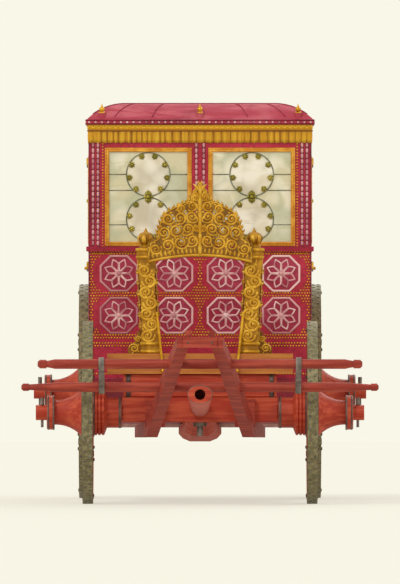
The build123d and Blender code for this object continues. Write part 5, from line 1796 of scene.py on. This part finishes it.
draught_paint = painted(
    "draught paint", rgb(84, 24, 16), rgb(142, 46, 32), rgb(172, 70, 50), (3.0, 40.0, 40.0)
)
for node in ("draught_fork", "lower_bar", "upper_bar"):
    nodes[node].data.materials[0] = draught_paint
nodes["front_transom"].data.materials[0] = parted(
    "transom paint", cove,
    (rgb(176, 100, 28), rgb(200, 126, 44)), (rgb(136, 44, 38), rgb(160, 62, 52)),
)
# The tapered board: vermilion paint, with painted shade in the darker pair along its slanting sides
nodes["rear_pedestal"].data.materials[0] = parted(
    "tapered board paint", slanting_edge_shade,
    (rgb(184, 70, 48), rgb(204, 92, 64)), (rgb(92, 20, 30), rgb(122, 30, 40)),
)
print("cove from", round(cove_low, 3), "to", round(cove_high, 3))

# %% Bands and bolts of the bolster and the rear uprights
band_width, band_proud = 0.030, 0.003
bolster_bolt, timber_bolt = 0.030, 0.026
band_x = 0.462


def iron_band(x, middle_y, half_y, low_z, high_z):
    """An iron band round a timber that lies across the coach."""
    half = band_width / 2
    section = [(0.001, -half), (0.001, half), (-band_proud, half), (-band_proud, -half)]
    return sideways(1, x, middle_y).bead(rectangle(-half_y, half_y, low_z, high_z), section)


bolster_low, bolster_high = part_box("front_bolster")
middle_y, half_y = (bolster_low[1] + bolster_high[1]) / 2, (bolster_high[1] - bolster_low[1]) / 2
irons = [
    iron_band(x, middle_y, half_y, bolster_low[2] + 0.004, bolster_high[2] - 0.002)
    for x in (-band_x, band_x)
]
u, v = lattice((-band_x, -0.235, 0.235, band_x), (bolster_low[2] + 0.038, bolster_high[2] - 0.038))
irons.append(facing(-1, bolster_low[1]).stud(bolt_head, u, v, 0.002, bolster_bolt))
rear_low, rear_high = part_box("rear_uprights")
levels = (rear_low[2] + 0.05, (rear_low[2] + rear_high[2]) / 2, rear_high[2] - 0.05)
u, v = lattice((-0.381, 0.381), levels)
irons.append(facing(1, rear_high[1]).stud(bolt_head, u, v, 0.0, timber_bolt))
put("coach_irons", joined(irons), "coach", "iron", hoop_iron)

# %% Irons of the draught fork and the arch on the tapered board
fork_low, fork_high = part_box("draught_fork")
u, v = lattice((-0.075, 0.075), (fork_high[2] - 0.044 - 0.033,))
fork_irons = [facing(-1, fork_low[1] + 0.008).stud(bolt_head, u, v, 0.0, timber_bolt)]
pole_y, pole_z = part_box("pole_head")[0][1], 0.714
socket_half_x, socket_half_z = 0.0775, 0.056
ring = even_turns(40)
# Two bands round the socket: how far in from its mouth, and their share of its size
for inset, grow in ((0.012, 1.0), (0.070, 0.995)):
    x = socket_half_x * grow * np.cos(ring)
    z = pole_z + inset * 0.02 + socket_half_z * grow * np.sin(ring)
    path = np.column_stack([x, np.full(40, pole_y + inset), z])
    out = unit(path - (0, pole_y + inset, pole_z))
    fork_irons.append(tube(path, 0.009, 0.004, 8, out, closed=True))
put("fork_irons", joined(fork_irons), "front_carriage", "iron", hoop_iron)

arch_half, arch_rise = 0.0495, 0.030
rim = arch_half * np.column_stack([np.cos(ring[:21]), np.sin(ring[:21])]) + (0, arch_rise)
arch_line = np.concatenate([[(arch_half, 0.0)], rim, [(-arch_half, 0.0)]]) + (0, board_low[2] + 0.004)
arch = facing(1, board_high[1] - 0.016).bead(arch_line, half_round(0.006, 0.003), closed=False)
put("board_arch", arch, "coach", "vermilion_wood")

# %% [markdown]
# ## Roof
# Velvet is sewn in gores over the dome. Piping covers the seams: up the four hips, round the flat crown,
# across it and down the slopes. Each seam is a line in plan, dropped on to the dome by casting a ray down
# at every point.

# %% Seams over the dome
roof = nodes["roof"]
crown_run = 0.257
above_roof = 3.5
hip_margin, eave_margin, finial_margin = 0.045, 0.020, 0.055
seam_wide, seam_high = 0.0045, 0.0032
roof_half = (roof_high[0], (roof_high[1] - roof_low[1]) / 2)
piping_velvet = velvet("seam velvet", rgb(96, 14, 34), rgb(140, 28, 50), rgb(172, 52, 74), (20, 20, 20))


def draped(plan, lift=0.002):
    """Points of a plan line lowered on to the roof."""
    found = []
    for x, y in plan:
        place = roof.ray_cast(Vector((x, y + body_y, above_roof)), Vector((0, 0, -1)))[1]
        found.append((x, y + body_y, place[2] + lift))
    return np.array(found)


def between(start, end, count):
    """Points of a straight line, both ends included."""
    share = np.linspace(0, 1, count)[:, None]
    return np.array(start) + (np.array(end) - np.array(start)) * share


crown_x, crown_y = roof_half[0] - crown_run, roof_half[1] - crown_run
seams = []
for x in (-1, 1):
    for y in (-1, 1):
        hip_foot = (x * (roof_half[0] - hip_margin), y * (roof_half[1] - hip_margin))
        seams.append(draped(between(hip_foot, (x * crown_x, y * crown_y), 16)))
corners = rectangle(-crown_x, crown_x, -crown_y, crown_y)
for start, end in zip(corners, corners[1:] + corners[:1]):
    seams.append(draped(between(start, end, 16)))
for y in (-crown_y / 3, crown_y / 3):
    seams.append(draped(between((-crown_x, y), (crown_x, y), 12)))
for x in (-1, 1):
    for y in (-crown_y / 3, crown_y / 3):
        seams.append(draped(between((x * (roof_half[0] - eave_margin), y), (x * crown_x, y), 12)))
# Gore seams of the front and rear slopes: place on the crown, place at the eave
gore_seams = [(0.0, 0.0), (0.22, 0.31), (-0.22, -0.31), (0.41, 0.555), (-0.41, -0.555)]
for y in (-1, 1):
    for head, foot in gore_seams:
        eave = roof_half[1] - (eave_margin if foot else finial_margin)
        seams.append(draped(between((foot, y * eave), (head, y * crown_y), 16)))
seams.append(draped(between((0, -crown_y), (0, crown_y), 20)))
tubes = [tube(path, seam_wide, seam_high, 8) for path in seams]
put("roof_seams", joined(tubes), "coach", "crimson_velvet", piping_velvet)

# %% [markdown]
# ## Bench cushions
# A cushion is a case that is held at its buttons and along its piped seam and swells everywhere else. The
# case starts as a slimmer copy of the construction solid, is remeshed evenly, and Cloth with pressure
# blows it up for twenty frames. What holds it is a vertex group: full weight near a button, near the seam
# and on the underside. How far any point may move is capped, so that the case stays in its own space.

# %% Stuffing and buttons
voxel = 0.0145
swell_cap = 0.014
case_inset = np.array((0.010, 0.010, 0.0))
seam_drop, button_drop, button_reach, button_pitch = 0.040, 0.026, 0.040, 0.262
pressure, last_frame = 4.0, 20
button_places = [(x, y) for y, half_count in ((-0.105, 2.0), (0.0, 1.5), (0.105, 2.0))
                 for x in np.arange(-half_count, half_count + 0.5) * button_pitch]


def evaluated(holder):
    """Points and quads of an object with its modifiers applied."""
    bpy.context.view_layer.update()
    graph = bpy.context.evaluated_depsgraph_get()
    mesh = bpy.data.meshes.new_from_object(holder.evaluated_get(graph))
    points = np.empty(3 * len(mesh.vertices), np.float32)
    corners = np.empty(len(mesh.loops), np.int32)
    mesh.vertices.foreach_get("co", points)
    mesh.loops.foreach_get("vertex_index", corners)
    bpy.data.meshes.remove(mesh)
    return points.reshape(-1, 3).astype(float), [corners.reshape(-1, 4).astype(int)]


def dropped(holder):
    """Delete a scratch object with its mesh."""
    mesh = holder.data
    bpy.data.objects.remove(holder)
    bpy.data.meshes.remove(mesh)


class Case:
    """The start shape of one cushion: a smaller solid, waisted sides, a crowned and buttoned top."""

    def __init__(self, node):
        self.low, self.high = (np.array(corner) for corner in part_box(node))
        self.middle = (self.low + self.high) / 2
        self.half = (self.high - self.low) / 2
        self.buttons = np.array(button_places) + self.middle[:2]
        self.seam_z = self.high[2] - seam_drop

    def shaped(self, points):
        """Points of the plain solid moved onto the start shape."""
        share = (points - self.middle) / self.half
        moved = self.middle + share * (self.half - case_inset)
        waist = 0.007 * (1 - np.clip(share[:, 1::-1], -1, 1) ** 2)
        moved[:, :2] -= share[:, :2] * waist
        upper = np.clip(share[:, 2], 0, 1)
        gap = np.linalg.norm(points[:, None, :2] - self.buttons[None], axis=2).min(1)
        crown = 0.012 * (1 - share[:, 0] ** 8) * (1 - share[:, 1] ** 4)
        moved[:, 2] += upper * (crown - 0.014 - button_drop * np.exp(-(gap / button_reach) ** 2))
        return moved

    def held(self, points):
        """1 where the case is held, near buttons, the seam and the underside, and 0 elsewhere."""
        gap = np.linalg.norm(points[:, None, :2] - self.buttons[None], axis=2).min(1)
        side = np.abs((points - self.middle) / self.half)[:, :2].max(1) > 0.9
        near_button = (gap < 0.011) & (points[:, 2] > self.middle[2])
        near_seam = (np.abs(points[:, 2] - self.seam_z) < 0.007) & side
        return near_button | near_seam | (points[:, 2] < self.low[2] + 0.003)


def stuffed(case, node):
    """Remesh the solid, shape it, swell it with Cloth and round it with one subdivision."""
    solid = bmesh.new()
    solid.from_mesh(nodes[node].data)
    bmesh.ops.remove_doubles(solid, verts=solid.verts, dist=1e-5)
    plain = bpy.data.meshes.new("plain case")
    solid.to_mesh(plain)
    solid.free()
    holder = linked("plain case", plain)
    remesh = holder.modifiers.new("even grid", "REMESH")
    remesh.mode = "VOXEL"
    remesh.voxel_size = voxel
    points, faces = evaluated(holder)
    dropped(holder)
    held = np.flatnonzero(case.held(points)).tolist()
    points = case.shaped(points)
    holder = linked("case", mesh_of("case", (points, faces)))
    group = holder.vertex_groups.new(name="held")
    group.add(held, 1.0, "REPLACE")
    cloth = holder.modifiers.new("stuffing", "CLOTH")
    cloth.settings.vertex_group_mass = "held"
    cloth.settings.use_pressure = True
    cloth.settings.uniform_pressure_force = pressure
    cloth.settings.effector_weights.gravity = 0.0
    cloth.settings.quality = 4
    cloth.collision_settings.use_collision = False
    cloth.point_cache.frame_start, cloth.point_cache.frame_end = 1, last_frame
    for frame_number in range(1, last_frame + 1):
        scene.frame_set(frame_number)
    swollen, faces = evaluated(holder)
    dropped(holder)
    scene.frame_set(1)
    move = swollen - points
    length = np.linalg.norm(move, axis=1, keepdims=True)
    points = points + move * np.minimum(1, swell_cap / np.maximum(length, 1e-9))
    print(node, "swelled", round(1000 * float(np.minimum(length, swell_cap).max()), 1), "mm")
    points = np.clip(points, case.low, case.high)
    holder = linked("case", mesh_of("case", (points, faces)))
    holder.modifiers.new("round", "SUBSURF").levels = 1
    shape = evaluated(holder)
    dropped(holder)
    return shape


def seam_line(case, corner=0.030, points_per_corner=7):
    """A rectangle with round corners at the seam's height, moved with the case."""
    angle = np.linspace(0, np.pi / 2, points_per_corner)
    line = []
    for turn, (x, y) in enumerate(((1, 1), (-1, 1), (-1, -1), (1, -1))):
        start = case.middle[:2] + (case.half[:2] - corner) * (x, y)
        way = angle + turn * np.pi / 2
        line += list(start + corner * np.column_stack([np.cos(way), np.sin(way)]))
        if turn % 2 == 0:
            run = np.linspace(0, 1, 14)[1:-1, None]
            line += list(line[-1] + run * ((-2 * x * (case.half[0] - corner)), 0))
    line = np.column_stack([np.array(line), np.full(len(line), case.seam_z)])
    return case.shaped(line)


print("buttons", len(button_places))

# %% Both cushions
button = turned([(0, 0.013), (0.005, 0.0115), (0.0085, 0.005)], sides=14)
piping_r = 0.0055
for node in ("front_cushion", "rear_cushion"):
    case = Case(node)
    shape = stuffed(case, node)
    pad = put(f"{node}_case", shape, "coach", "crimson_velvet")
    piping = tube(seam_line(case), piping_r, piping_r, 10, closed=True)
    put(f"{node}_piping", piping, "coach", "crimson_velvet", piping_velvet)
    top = shape[0][shape[0][:, 2] > case.middle[2]]
    nearest = np.linalg.norm(top[:, None, :2] - case.buttons[None], axis=2).argmin(0)
    origins = np.column_stack([case.buttons, top[nearest, 2] - 0.001])
    studs = copies(button, origins, (1, 0, 0), (0, 1, 0), (0, 0, 1))
    put(f"{node}_buttons", studs, "coach", "gilt_metal")
    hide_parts(node)

# %% [markdown]
# ## Sizes
# The box of the construction is printed at the start, and the box of everything shown is printed here.

# %% The box of everything shown
low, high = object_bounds()
print("visual box", [round(v, 3) for v in low], [round(v, 3) for v in high])
